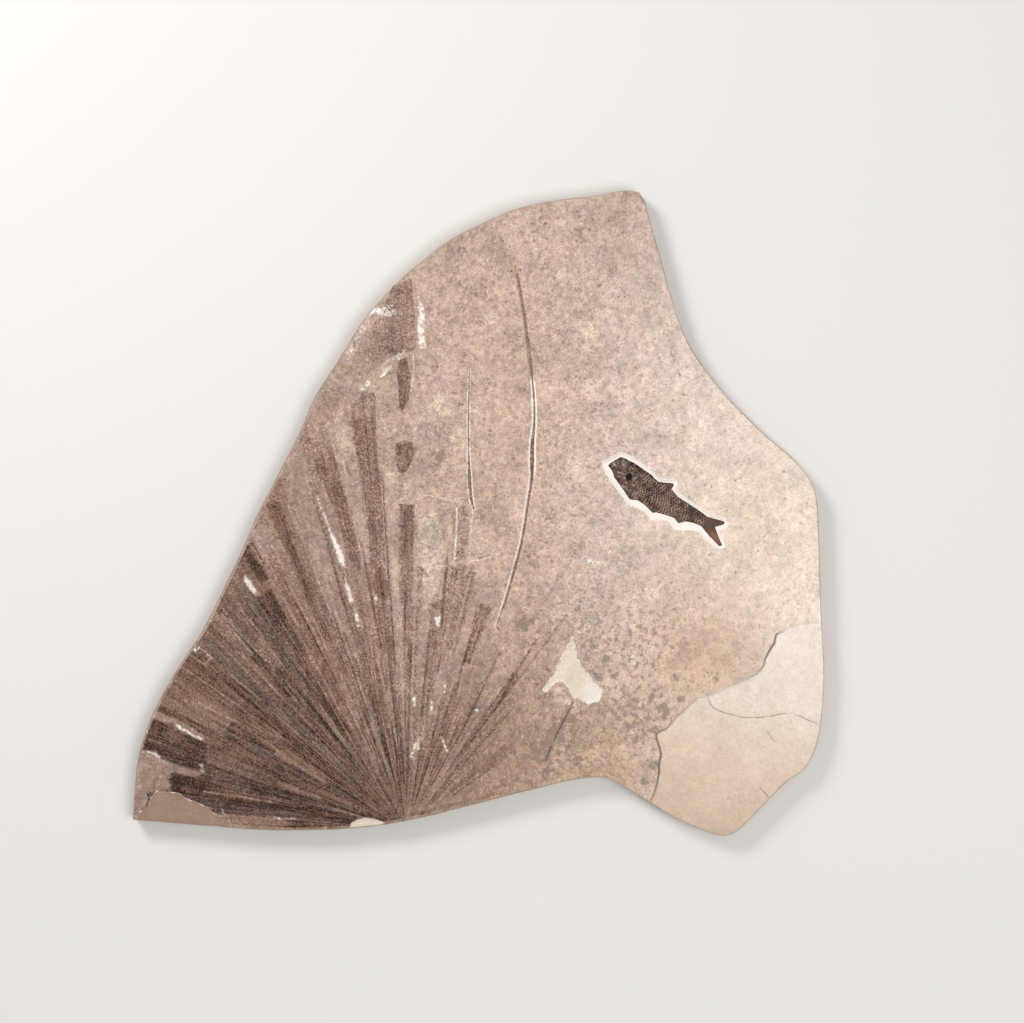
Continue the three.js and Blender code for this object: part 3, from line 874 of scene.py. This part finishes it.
def paint_leaf(piece, film, points):
    """Give a piece of leaf its film, the direction of its streaks and the stone's stain, with the
    painted light that brightens the face towards the right.
    """
    angle, reach, number, across = leaflet_marks(points)
    tone = np.random.default_rng(8).uniform(0, 1, len(LEAFLETS))
    paint(piece, "film", film)
    paint(piece, "ray", angle)
    paint(piece, "reach", reach)
    paint(piece, "tone", tone[number])
    paint(piece, "stain", bare_tint(points, np.full(len(points), False)))


def streak(tree, wide, long, low, high, about=0.0):
    """Noise drawn out along the leaflets: so many degrees wide and millimetres long."""
    ray = add(tree, "Attribute", output="Fac", attribute_name="ray")
    ray = add(tree, "Math", {0: ray, 1: wide}, operation="DIVIDE")
    reach = add(tree, "Attribute", output="Fac", attribute_name="reach")
    reach = add(tree, "Math", {0: reach, 1: long}, operation="DIVIDE")
    place = add(tree, "CombineXYZ", {0: ray, 1: reach, 2: about})
    noise = add(tree, "TexNoise", {"Vector": place, "Scale": 1.0, "Detail": 2.0, "Roughness": 0.6})
    return add(tree, "MapRange", {0: noise, 1: 0.3, 2: 0.7, 3: low, 4: high})


# Leaf film: matt brown-black carbon, streaked along the leaflets and speckled where the grit
# of the stone shows through
leaf_film, tree = new_material("carbon_leaf_film")
colour, height = stone_pattern(tree)
place = add(tree, "TexCoord", output="Object")
film = add(tree, "Attribute", output="Fac", attribute_name="film")
# Near the stalk the folds crowd together and stand out most; towards the tips they fade
reach = add(tree, "Attribute", output="Fac", attribute_name="reach")
crowding = add(tree, "MapRange", {0: reach, 1: 60.0, 2: 240.0, 3: 2.8, 4: 1.1})
towards_tip = add(tree, "MapRange", {0: reach, 1: 230.0, 2: 380.0, 3: 1.0, 4: 0.45})
broad = streak(tree, 1.3, 130.0, -0.17, 0.17)
broad = add(tree, "Math", {0: broad, 1: crowding}, operation="MULTIPLY")
narrow = streak(tree, 0.36, 60.0, -0.25, 0.25, 4.0)
streaks = add(tree, "Math", {0: broad, 1: narrow}, operation="ADD")
firm = add(tree, "MapRange", {0: film, 1: 0.0, 2: 0.5}, interpolation_type="SMOOTHSTEP")
firm = add(tree, "Math", {0: firm, 1: towards_tip}, operation="MULTIPLY")
streaks = add(tree, "Math", {0: streaks, 1: firm}, operation="MULTIPLY")
# Specks and mottling wherever there is film at all
speckle = grain(tree, place, 2.5, -0.46, 0.46, 3.0, 0.75, 11.0)
mottle = grain(tree, place, 11.0, -0.13, 0.13, 4.0, 0.7, 12.0)
specks = add(tree, "Math", {0: speckle, 1: mottle}, operation="ADD")
present = add(tree, "MapRange", {0: film, 1: 0.0, 2: 0.3}, interpolation_type="SMOOTHSTEP")
specks = add(tree, "Math", {0: specks, 1: present}, operation="MULTIPLY")
uneven = add(tree, "Math", {0: streaks, 1: specks}, operation="ADD")
cover = add(tree, "Math", {0: film, 1: uneven}, operation="ADD")
thin = add(tree, "MapRange", {0: cover, 1: -0.05, 2: 0.5}, interpolation_type="SMOOTHSTEP")
thick = add(tree, "MapRange", {0: cover, 1: 0.3, 2: 1.1}, interpolation_type="SMOOTHSTEP")
# Some leaflets are greyer than others
greyness = add(tree, "Attribute", output="Fac", attribute_name="tone")
drift = grain(tree, place, 30.0, -0.5, 0.5, 3.0, 0.6, 13.0)
greyness = add(tree, "Math", {0: greyness, 1: drift}, operation="ADD")
greyness = add(tree, "MapRange", {0: greyness, 1: 0.1, 2: 0.9}, interpolation_type="SMOOTHSTEP")
worn_film = add(tree, "Mix", {0: greyness, 6: linear("8b6c5c"), 7: linear("826a60")}, 2,
                data_type="RGBA")
whole_film = add(tree, "Mix", {0: greyness, 6: linear("331f18"), 7: linear("3a2a26")}, 2,
                 data_type="RGBA")
colour = add(tree, "Mix", {0: thin, 6: colour, 7: worn_film}, 2, data_type="RGBA")
colour = add(tree, "Mix", {0: thick, 6: colour, 7: whole_film}, 2, data_type="RGBA")
# Grit of the stone stands through the film in pale dots
dots = grain(tree, place, 2.4, 0.0, 1.0, 3.0, 0.75, 14.0)
dots = add(tree, "MapRange", {0: dots, 1: 0.7, 2: 1.0, 4: 0.55}, interpolation_type="SMOOTHSTEP")
dots = add(tree, "Math", {0: dots, 1: thin}, operation="MULTIPLY")
colour = add(tree, "Mix", {0: dots, 6: colour, 7: linear("b09a8b")}, 2, data_type="RGBA")
thickness = add(tree, "Math", {0: cover, 1: 1.2}, operation="MULTIPLY")
height = add(tree, "Math", {0: height, 1: thickness}, operation="ADD")
finish_surface(tree, colour, height, 0.75, 0.35)

# The outline: the CAD's, taken out to the broken edge where the slab was trimmed across it
frond_loop = resample(anticlockwise(frond_ring), 3)
gap = distance_to(frond_loop, rim[::2])
frond_loop = inset(frond_loop, np.where(gap < 18, 1.0 - gap, 1.5 * lumps(frond_loop, 14, 52) - 0.5))
flake_loops = [loop for loop, (*_, kind) in zip(recess_loops, recesses) if kind == "flake"]
# It reaches the rim of the flake at the lower left
beside_flake = np.abs(distance_to(frond_loop, flake_loops[1]) + 6) < 8
frond_loop = inset(frond_loop, np.where(beside_flake, -11, 0))
gap = distance_to(frond_loop, rim[::2])
frond_loop = frond_loop[gap > 0.4]

torn_loops = []
for kept, start, end, near, far in TORN:
    sides = fan([(start, near), (start, far), (end, far), (end, near)])
    torn_loops.append((ragged(resample(sides, 3), 9, 1.6, 53), KEPT[kept]))
for kept, corners in SHAPED:
    torn_loops.append((ragged(resample(fan(corners), 3), 9, 1.2, 54), KEPT[kept]))
for kept, corners in BROKEN:
    torn_loops.append((ragged(resample(corners, 3), 9, 1.2, 50), KEPT[kept]))
chalk_loops = [ragged(resample(corners, 2.4), 6, 1.6, 55) for corners in CHALKY]
chalk_loops = [anticlockwise(loop) for loop in chalk_loops]

# Columns of points along the leaflets, fewer near the stalk where they crowd together
COLUMN_TURN = 0.29
turns, runs = np.meshgrid(np.arange(8.0, 180.4, COLUMN_TURN), np.arange(24.0, 640.0, 2.9))
turns, runs = turns.ravel(), runs.ravel()
column = np.round((turns - 8) / COLUMN_TURN).astype(int)
grid = fan(np.stack([turns, runs], axis=1))
grid = grid[(runs > 220) | ((column % 2 == 0) & (runs > 110)) | (column % 5 == 0)]
grid = grid[((grid > frond_loop.min(0)) & (grid < frond_loop.max(0))).all(1)]
grid = grid[distance_to(grid, frond_loop) > 1.5]
# The seams between leaflets wander a little, as the bounds of the leaflets do
seams = []
for start in LEAFLETS:
    run = np.arange(64.0, 640.0, 4.0)
    seam = fan(np.stack([np.full(len(run), start), run], axis=1))
    for _ in range(2):
        turned = start - 0.3 * lumps(seam, 70, 51, 2)
        seam = fan(np.stack([turned, run], axis=1))
    seams.append(seam[distance_to(seam, frond_loop) > 1.5])
seams = [seam for seam in seams if len(seam) > 3]
kept_lines = [(seam, False) for seam in seams] + [(loop, True) for loop in chalk_loops + flake_loops]
for start, end, half, kind in FINE_LINES:
    line = resample(fan([start, end]), 3, closed=False)
    kept_lines.append((line[distance_to(line, frond_loop) > 1.5], False))
grid = clear_of(grid, np.vstack([line for line, _ in kept_lines]), 1.1)
spot, frond_faces, _, line_of = triangulate(frond_loop, kept_lines, grid)
# The film went with the stone where the flakes came off
middles = spot[frond_faces].mean(1)
for loop in flake_loops:
    on_stone = distance_to(middles, loop) < 0
    frond_faces, middles = frond_faces[on_stone], middles[on_stone]
used, corners = np.unique(frond_faces, return_inverse=True)
frond_faces = corners.reshape(-1, 3)
spot, line_of = spot[used], line_of[used]

angle, reach, number, across = leaflet_marks(spot)
wear = np.array(WEAR)
near, middle, far = (np.interp(-angle, -wear[:, 0], wear[:, i]) for i in (1, 2, 3))
out = np.interp(reach, WEAR_AT, (0.0, 1.0, 2.0))
film = np.where(out < 1, near + (middle - near) * out, middle + (far - middle) * (out - 1))
# No two leaflets have kept quite the same, nor one leaflet along its length
whims = np.random.default_rng(14).uniform(-0.11, 0.11, len(LEAFLETS))
along = lumps(np.column_stack([number * 300.0, reach]), 85, 48, 3)
film += (whims[number] + 0.1 * along) * smooth_step(film, 0, 0.3)
edge_gap = distance_to(spot, frond_loop)
rim_gap = distance_to(spot, rim[::2])
# Away from the trimmed edge the film thins out into bare stone
fading = smooth_step(edge_gap + 5 * lumps(spot, 30, 57), 2, 26)
film *= np.where(rim_gap < 8, 1, np.maximum(fading, smooth_step(angle, 93, 100)))


def beside(loop, margin):
    """Which points of the frond lie in the box of a loop, or within a margin of it."""
    return ((spot > loop.min(0) - margin) & (spot < loop.max(0) + margin)).all(1)


for loop, amount in torn_loops:
    box = beside(loop, 3)
    within = distance_to(spot[box], loop) + 0.8 * lumps(spot[box], 5, 56, 2)
    uneven = amount * (1 + 0.25 * lumps(spot[box], 26, 60))
    film[box] += (uneven - film[box]) * smooth_step(within, -0.9, 0.9)
chalk = np.full(len(spot), NO_CHALK)
for loop in chalk_loops:
    box = beside(loop, 9)
    chalk[box] = np.maximum(chalk[box], np.minimum(1.4 * distance_to(spot[box], loop) + 0.3, 1.9))
film *= 1 - 0.8 * smooth_step(chalk, -1.5, 0.5)
for corners, strength in CREAM:
    loop = ragged(resample(fan(corners), 3), 9, 2.5, 59)
    box = beside(loop, 9)
    within = np.minimum(distance_to(spot[box], loop) * 0.8 - 2, 0)
    chalk[box] = np.maximum(chalk[box], within + strength)
# Along its seams the film is rubbed pale or doubled up dark, by turns
seam_tone = np.random.default_rng(9).uniform(-1, 1, len(seams) + 1)
on_seam = (line_of >= 0) & (line_of < len(seams))
mark = np.where(on_seam, seam_tone[np.clip(line_of, 0, len(seams))], 0)
mark = np.sign(mark) * np.abs(mark) ** 0.5 * (0.6 + 0.5 * lumps(spot, 60, 49))
film += np.where(film > 0.02, -0.34 * mark, 0) * smooth_step(film, 0, 0.3)
for start, end, half, kind in FINE_LINES:
    line = resample(fan([start, end]), 4, closed=False)
    away = distance_to(spot, line, closed=False) + 0.3 * lumps(spot, 12, 58, 2)
    near = 1 - smooth_step(away, half * 0.6, half + 0.9)
    if kind == "dark":
        film = np.maximum(film, np.minimum(film + 0.3, 0.9) * near)
    else:
        film *= 1 - 0.6 * near
        chalk = np.maximum(chalk, -1.6 + 1.5 * near - 9 * (near == 0))
# Each leaflet is folded along its middle, and the film stands a little off the face
width = np.radians(-np.diff(LEAFLETS + [0.0]))[number] * reach
fold = (1 - np.abs(2 * across - 1)) * np.clip(width / 12, 0, 1)
lift = (0.22 + 0.25 * film + 0.25 * fold) * smooth_step(edge_gap, 0, 9) - 0.12 * (edge_gap < 0.5)
frond = new_piece("palm_frond_film", np.column_stack([spot, FACE + undulation(spot) + lift]),
                  frond_faces, [leaf_film])
paint_leaf(frond, film, spot)
paint(frond, "chalk", chalk)
paint(frond, "litter", littered(spot))
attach(frond, "root")
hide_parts("palm_frond")

# ------------------------------------------------------------------------------------------
# Leaf scraps and strip
# Three torn ends of frond leaflets and one loose strip of leaf, the same thin carbon film as
# the frond, lying flat on the face where the rest of their leaflets flaked away.
# ------------------------------------------------------------------------------------------
for name, node, amount, spacing in (
        ("leaf_scrap_top_film", "leaf_scrap_top", 0.30, 2.2),
        ("leaf_scrap_upper_film", "leaf_scrap_upper", 0.50, 1.6),
        ("leaf_scrap_middle_film", "leaf_scrap_middle", 0.44, 1.6),
        ("leaf_strip_film", "leaf_strip", 0.15, 1.6)):
    ring = cad_rings(node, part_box(node)[0].z / MM)[0]
    loop = ragged(resample(anticlockwise(ring), spacing), 7, 1.2, 61)
    grid = hex_spots(loop.min(0), loop.max(0), spacing, 62)
    grid = grid[distance_to(grid, loop) > spacing * 0.6]
    spot, scrap_faces, _, _ = triangulate(loop, [], grid)
    edge_gap = distance_to(spot, loop)
    worn = amount + 0.12 * lumps(spot, 18, 63) - 0.1 * (1 - smooth_step(edge_gap, 0, 2))
    if node == "leaf_scrap_top":
        # Its left side has worn thin
        worn *= 0.5 + 0.5 * smooth_step(spot[:, 0] + 14 * lumps(spot, 30, 64), -160, -110)
    lift = 0.3 * smooth_step(edge_gap, 0.2, 2.5) - 0.1 * (edge_gap < 0.4)
    scrap = new_piece(name, np.column_stack([spot, FACE + undulation(spot) + lift]), scrap_faces,
                      [leaf_film])
    paint_leaf(scrap, worn, spot)
    paint(scrap, "chalk", scar_chalk(spot))
    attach(scrap, "root")
    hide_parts(node)

# ------------------------------------------------------------------------------------------
# Two narrow leaf blades
# Grass-like leaves lying in the groove a preparator's needle has cleared beside them. Each is
# a thin ridge of brown film over stone, and the long one swells where it is turned flat.
# ------------------------------------------------------------------------------------------
def span_at(ring, levels):
    """The lowest and highest x of a closed ring at each of these values of y."""
    a, b = ring, np.roll(ring, -1, axis=0)
    rise = np.where(a[:, 1] == b[:, 1], 1e-9, b[:, 1] - a[:, 1])
    share = (np.asarray(levels)[:, None] - a[:, 1]) / rise
    x = a[:, 0] + share * (b[:, 0] - a[:, 0])
    crossed = (share >= 0) & (share <= 1)
    return np.where(crossed, x, 1e9).min(1), np.where(crossed, x, -1e9).max(1)


for name, node, core, full in (("long_leaf_blade_film", "long_leaf_blade", 0.34, (38, 104)),
                               ("short_leaf_blade_film", "short_leaf_blade", 0.24, (4, 60))):
    ring = cad_rings(node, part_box(node)[0].z / MM)[0]
    levels = np.arange(ring[:, 1].min() + 0.2, ring[:, 1].max() - 0.2, 1.5)
    left_edge, right_edge = span_at(ring, levels)
    shares = np.linspace(-1, 1, 9)
    middle = (left_edge + right_edge) / 2
    half = (right_edge - left_edge) / 2 * (1 + 0.12 * lumps(np.stack([levels, levels], axis=1), 9, 71))
    x = middle[:, None] + half[:, None] * shares
    spot = np.stack([x, np.broadcast_to(levels[:, None], x.shape)], axis=-1).reshape(-1, 2)
    share = np.tile(shares, len(levels))
    flat_part = smooth_step(spot[:, 1], full[0] - 8, full[0]) * (
        1 - smooth_step(spot[:, 1], full[1] - 6, full[1]))
    ridge = (1 - share**2) * (0.75 + 0.25 * flat_part) + 0.12 * lumps(spot, 3, 72) * flat_part
    heights = FACE - 0.72 + 0.95 * ridge + undulation(spot) - 0.9 * (np.abs(share) == 1)
    row = len(shares)
    cells = (np.arange(len(levels) - 1)[:, None] * row + np.arange(row - 1)).ravel()
    blade_faces = np.stack([cells, cells + 1, cells + row + 1, cells + row], axis=1)
    blade = new_piece(name, np.column_stack([spot, heights]), blade_faces, [leaf_film])
    # Painted shade on its right side, given as more film, and painted light on its left side, given as
    # less film
    shade_side = smooth_step(share, -0.2, 0.8)
    film = core + 0.18 * shade_side * (1 - flat_part) + 0.14 * flat_part
    film -= 0.3 * smooth_step(-share, 0.3, 0.9) * (1 - flat_part)
    paint_leaf(blade, film, spot)
    blade.data.attributes["ray"].data.foreach_set("value", (share * 1.6).astype(np.float32))
    blade.data.attributes["tone"].data.foreach_set("value", np.zeros(len(spot), np.float32))
    paint(blade, "chalk", np.full(len(spot), NO_CHALK))
    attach(blade, "root")
    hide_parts(node)

# ------------------------------------------------------------------------------------------
# Fossil fish
# A small herring-like fish lying on its side, its bones and scales turned to hard dark brown
# mineral. It stands a little proud of the chalky trench cut round it.
# ------------------------------------------------------------------------------------------
SNOUT = np.array([166.8, 61.9])
TILT = math.radians(-29.4)
ALONG = np.array([math.cos(TILT), math.sin(TILT)])
ACROSS = np.array([-math.sin(TILT), math.cos(TILT)])
ring = cad_rings("fossil_fish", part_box("fossil_fish")[0].z / MM)[0]
fish_loop = resample(anticlockwise(ring), 0.7)
fish_loop = inset(fish_loop, 0.35 * lumps(fish_loop, 3, 81) + 0.25 * lumps(fish_loop, 9, 82))
grid = hex_spots(fish_loop.min(0), fish_loop.max(0), 0.56, 83)
grid = grid[distance_to(grid, fish_loop[::2]) > 0.5]
spot, fish_faces, _, _ = triangulate(fish_loop, [], grid)
edge_gap = np.maximum(distance_to(spot, fish_loop), 0)
u, v = (spot - SNOUT) @ ALONG, (spot - SNOUT) @ ACROSS

BONE = linear("67493d")[:3]
tint = np.tile(BONE, (len(spot), 1))
height = FACE - 1.75 + 2.1 * (1 - np.exp(-edge_gap / 4.5)) + 0.5 * smooth_step(edge_gap, 0, 0.9)


def tinge(amount, code):
    """Bring the fish's own colour towards another by an amount for each point."""
    tint[:] = toward(tint, amount, code)


# Scales: overlapping rows of thin rounded plates, each with a pale worn rim towards the tail
scaly = smooth_step(u, 42, 50) * (1 - smooth_step(u, 143, 150))
sway = u + 0.016 * (v - 2) ** 2 + 1.5 * lumps(spot, 13, 84) + 0.9 * lumps(spot, 5, 95)
row = (v + 0.8 * lumps(spot, 11, 80) + 0.7 * lumps(spot, 5, 96)) / 3.3
stagger = sway / 3.6 + 0.5 * (np.floor(row) % 2)
from_rim = stagger - np.floor(stagger) + 0.42 * (2 * (row - np.floor(row)) - 1) ** 2
from_rim = from_rim % 1
pale_rim = np.exp(-((from_rim - 0.12) / 0.17) ** 2)
wear = 0.5 + 0.6 * lumps(spot, 6, 85)
height += scaly * (0.34 * from_rim - 0.15)
tinge(scaly * smooth_step(from_rim, 0.3, 0.65) * np.clip(1.1 - 0.6 * wear, 0.4, 1), "1a100c")
tinge(scaly * pale_rim * np.clip(1.8 * wear - 0.3, 0.05, 0.95), "cdb4a3")
tinge(scaly * 0.5 * np.exp(-((v - 1.5) / 3.0) ** 2), "4a352d")

# Bones of the head and shoulder: middle, half lengths, turn, how proud, colour
for bone_u, bone_v, long, wide, turn, proud, code in (
        (7, 1.5, 8, 2.2, 22, 0.35, "3a2c27"), (9, -4, 9, 2.2, -38, 0.4, "453530"),
        (17, -9.5, 9, 2.6, -34, 0.45, "54423a"), (8.5, 6.4, 3.4, 2.6, 30, 0.5, "a39a93"),
        (13, 12, 7, 3.4, 38, 0.4, "5f4c44"), (21, 12.7, 7.5, 4.4, 8, 0.5, "8f7574"),
        (26, 17.5, 11, 2.4, 6, 0.35, "4c3a33"), (19, 3, 5.5, 4.6, 0, -0.7, "55423a"),
        (27, 5.5, 4, 8, -12, 0.4, "6a544a"), (25, -6, 6.5, 4, -30, 0.45, "665046"),
        (38, 6.5, 7.5, 8, 10, 0.45, "604b41"), (30, -11, 6, 3, -22, 0.3, "5c4a42"),
        (35.5, -15.5, 6.5, 3.2, -24, 0.5, "8b817b"), (42, -9.5, 5.5, 3.4, -50, 0.35, "5e4a41"),
        (44, -19.5, 8, 2.4, -28, 0.35, "57443b"), (41, 15.5, 8, 2.6, -4, 0.3, "4a3932")):
    turned = math.radians(turn)
    du, dv = u - bone_u, v - bone_v
    p = (du * math.cos(turned) + dv * math.sin(turned)) / long
    q = (dv * math.cos(turned) - du * math.sin(turned)) / wide
    body = 1 - np.hypot(p, q) + 0.12 * lumps(spot, 2.4, int(90 + bone_u))
    on_bone = smooth_step(body, 0.0, 0.22)
    height += proud * on_bone
    tinge(on_bone * 0.85, code)
    tinge(0.5 * np.exp(-((body - 0.03) / 0.06) ** 2), "2c201c" if proud > 0 else "9c8678")
broken = (1 - scaly) * (u < 60)
tinge(broken * smooth_step(lumps(spot, 2.8, 86, 2), 0.1, 0.55) * 0.65, "1e1410")
tinge(broken * smooth_step(lumps(spot, 1.8, 87, 2), 0.2, 0.6) * 0.7, "bda89a")
height += broken * 0.22 * lumps(spot, 1.8, 88, 2)
# The hole left where the gill cover is broken, its near-black colour painted shade
hole = 1 - np.hypot((u - 32.5) / 5.0, (v - 0.6) / 5.2) + 0.4 * lumps(spot, 3.4, 89)
height -= 1.3 * smooth_step(hole, 0, 0.35)
tinge(smooth_step(hole, 0, 0.25), "0d0908")

# Broken and darker patches all over, most along the back
tinge(0.55 * smooth_step(lumps(spot, 5, 93, 3) + 0.03 * (v - 4), 0.1, 0.6), "241813")
tinge(scaly * 0.4 * smooth_step(lumps(spot, 4, 94, 3), 0.3, 0.8), "a08a7c")

# Fins: thin rays spreading back from where each fin joins the body
for root_u, root_v, start_u, end_u, low_v, high_v, code in (
        (60, 6, 68, 92, 15.5, 30, "4b372f"), (76, -13, 76, 88, -30, -20.5, "4b3a33"),
        (108, -9, 108, 124, -25, -13.5, "55423a"), (44, -14, 44, 56, -29, -21, "4d3c34"),
        (141, -1, 148, 190, -24, 16, "4f3930")):
    within = (smooth_step(u, start_u - 2, start_u + 2) * (1 - smooth_step(u, end_u, end_u + 2))
              * smooth_step(v, low_v - 1, low_v + 1) * (1 - smooth_step(v, high_v - 1, high_v + 1)))
    swing = np.degrees(np.arctan2(v - root_v, u - root_u))
    ray = np.cos(np.radians(swing * 360 / 3.4)) * 0.5 + 0.5
    height -= within * 0.25 * smooth_step(edge_gap, 0, 2)
    height += within * 0.2 * ray
    tinge(within * 0.85, code)
    tinge(within * 0.45 * ray, "8f7464")
    tinge(within * 0.4 * smooth_step(0.25 - ray, 0, 0.2), "2b1f1b")
# The lower lobe of the tail is redder, and its tip is a smudge of loose film
lower_lobe = smooth_step(u, 155, 163) * smooth_step(-v, 4, 9)
tinge(lower_lobe * 0.75, "93644c")
tinge(smooth_step(u, 171, 177) * 0.85, "55504d")
# Fine edge: painted shade, dark where the film turns down into the trench
tinge(0.55 * np.exp(-((edge_gap / 0.9) ** 2)), "33251f")
height[edge_gap < 0.05] = FACE - 2.1
height = np.minimum(height, FACE + 1.45)

# Fossil bone: hard brown mineral with a low dull sheen, flecked where it is chipped
fossil_bone, tree = new_material("dark_fossil_bone")
place = add(tree, "TexCoord", output="Object")
colour = add(tree, "Attribute", output="Color", attribute_name="tint")
fleck = grain(tree, place, 0.9, 0.68, 1.32, 3.0, 0.7)
cloud = grain(tree, place, 6.0, 0.86, 1.14, 3.0, 0.6, 1.0)
light = add(tree, "Math", {0: fleck, 1: cloud}, operation="MULTIPLY")
colour = add(tree, "VectorMath", {0: colour, 3: light}, operation="SCALE")
finish_surface(tree, colour, fleck, 0.6, 0.15, 0.2)

fish = new_piece("fossil_fish_body", np.column_stack([spot, height]), fish_faces, [fossil_bone])
paint(fish, "tint", tint)
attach(fish, "root")
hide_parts("fossil_fish")

# ------------------------------------------------------------------------------------------
# Floor, light and camera
# A pale studio floor, one broad lamp to the upper left with an even fill, and the camera
# straight above the slab.
# ------------------------------------------------------------------------------------------
floor_mesh = bpy.data.meshes.new("studio_floor")
floor_mesh.from_pydata([(-4, -4, 0), (4, -4, 0), (4, 4, 0), (-4, 4, 0)], [], [(0, 1, 2, 3)])
floor = bpy.data.objects.new("studio_floor", floor_mesh)
bpy.context.scene.collection.objects.link(floor)
# Matt paper: an even off-white with no shine
paper, tree = new_material("matt_paper_floor")
shader = add(tree, "BsdfPrincipled", {"Base Color": linear("e9e7e4"), "Roughness": 0.9})
add(tree, "OutputMaterial", {"Surface": shader})
floor_mesh.materials.append(paper)


def area_lamp(name, place, aim, size, watts):
    lamp = bpy.data.lights.new(name, "AREA")
    lamp.shape = "DISK"
    lamp.size = size
    lamp.energy = watts
    holder = bpy.data.objects.new(name, lamp)
    holder.location = place
    holder.rotation_euler = (Vector(aim) - Vector(place)).to_track_quat("-Z", "Y").to_euler()
    bpy.context.scene.collection.objects.link(holder)


area_lamp("key_lamp", (-1.9, 2.0, 1.9), (0.0, 0.0, 0.0), 1.2, 62)
area_lamp("fill_lamp", (1.6, -0.8, 3.4), (0.1, 0.0, 0.0), 2.6, 60)
world = bpy.data.worlds.new("studio")
world.use_nodes = True
world.node_tree.nodes["Background"].inputs["Color"].default_value = (1.0, 0.99, 0.975, 1.0)
world.node_tree.nodes["Background"].inputs["Strength"].default_value = 0.42
bpy.context.scene.world = world
bpy.context.scene.view_settings.view_transform = "Standard"

camera_data = bpy.data.cameras.new("camera")
camera_data.lens = 100
camera_data.sensor_width = 36
camera = bpy.data.objects.new("camera", camera_data)
# How much of the floor the view takes in from side to side, at the height of the face
VIEW_WIDTH = 1331
camera_height = FACE + VIEW_WIDTH * camera_data.lens / camera_data.sensor_width
camera.location = (43.5 * MM, 2 * MM, camera_height * MM)
bpy.context.scene.collection.objects.link(camera)
bpy.context.scene.camera = camera
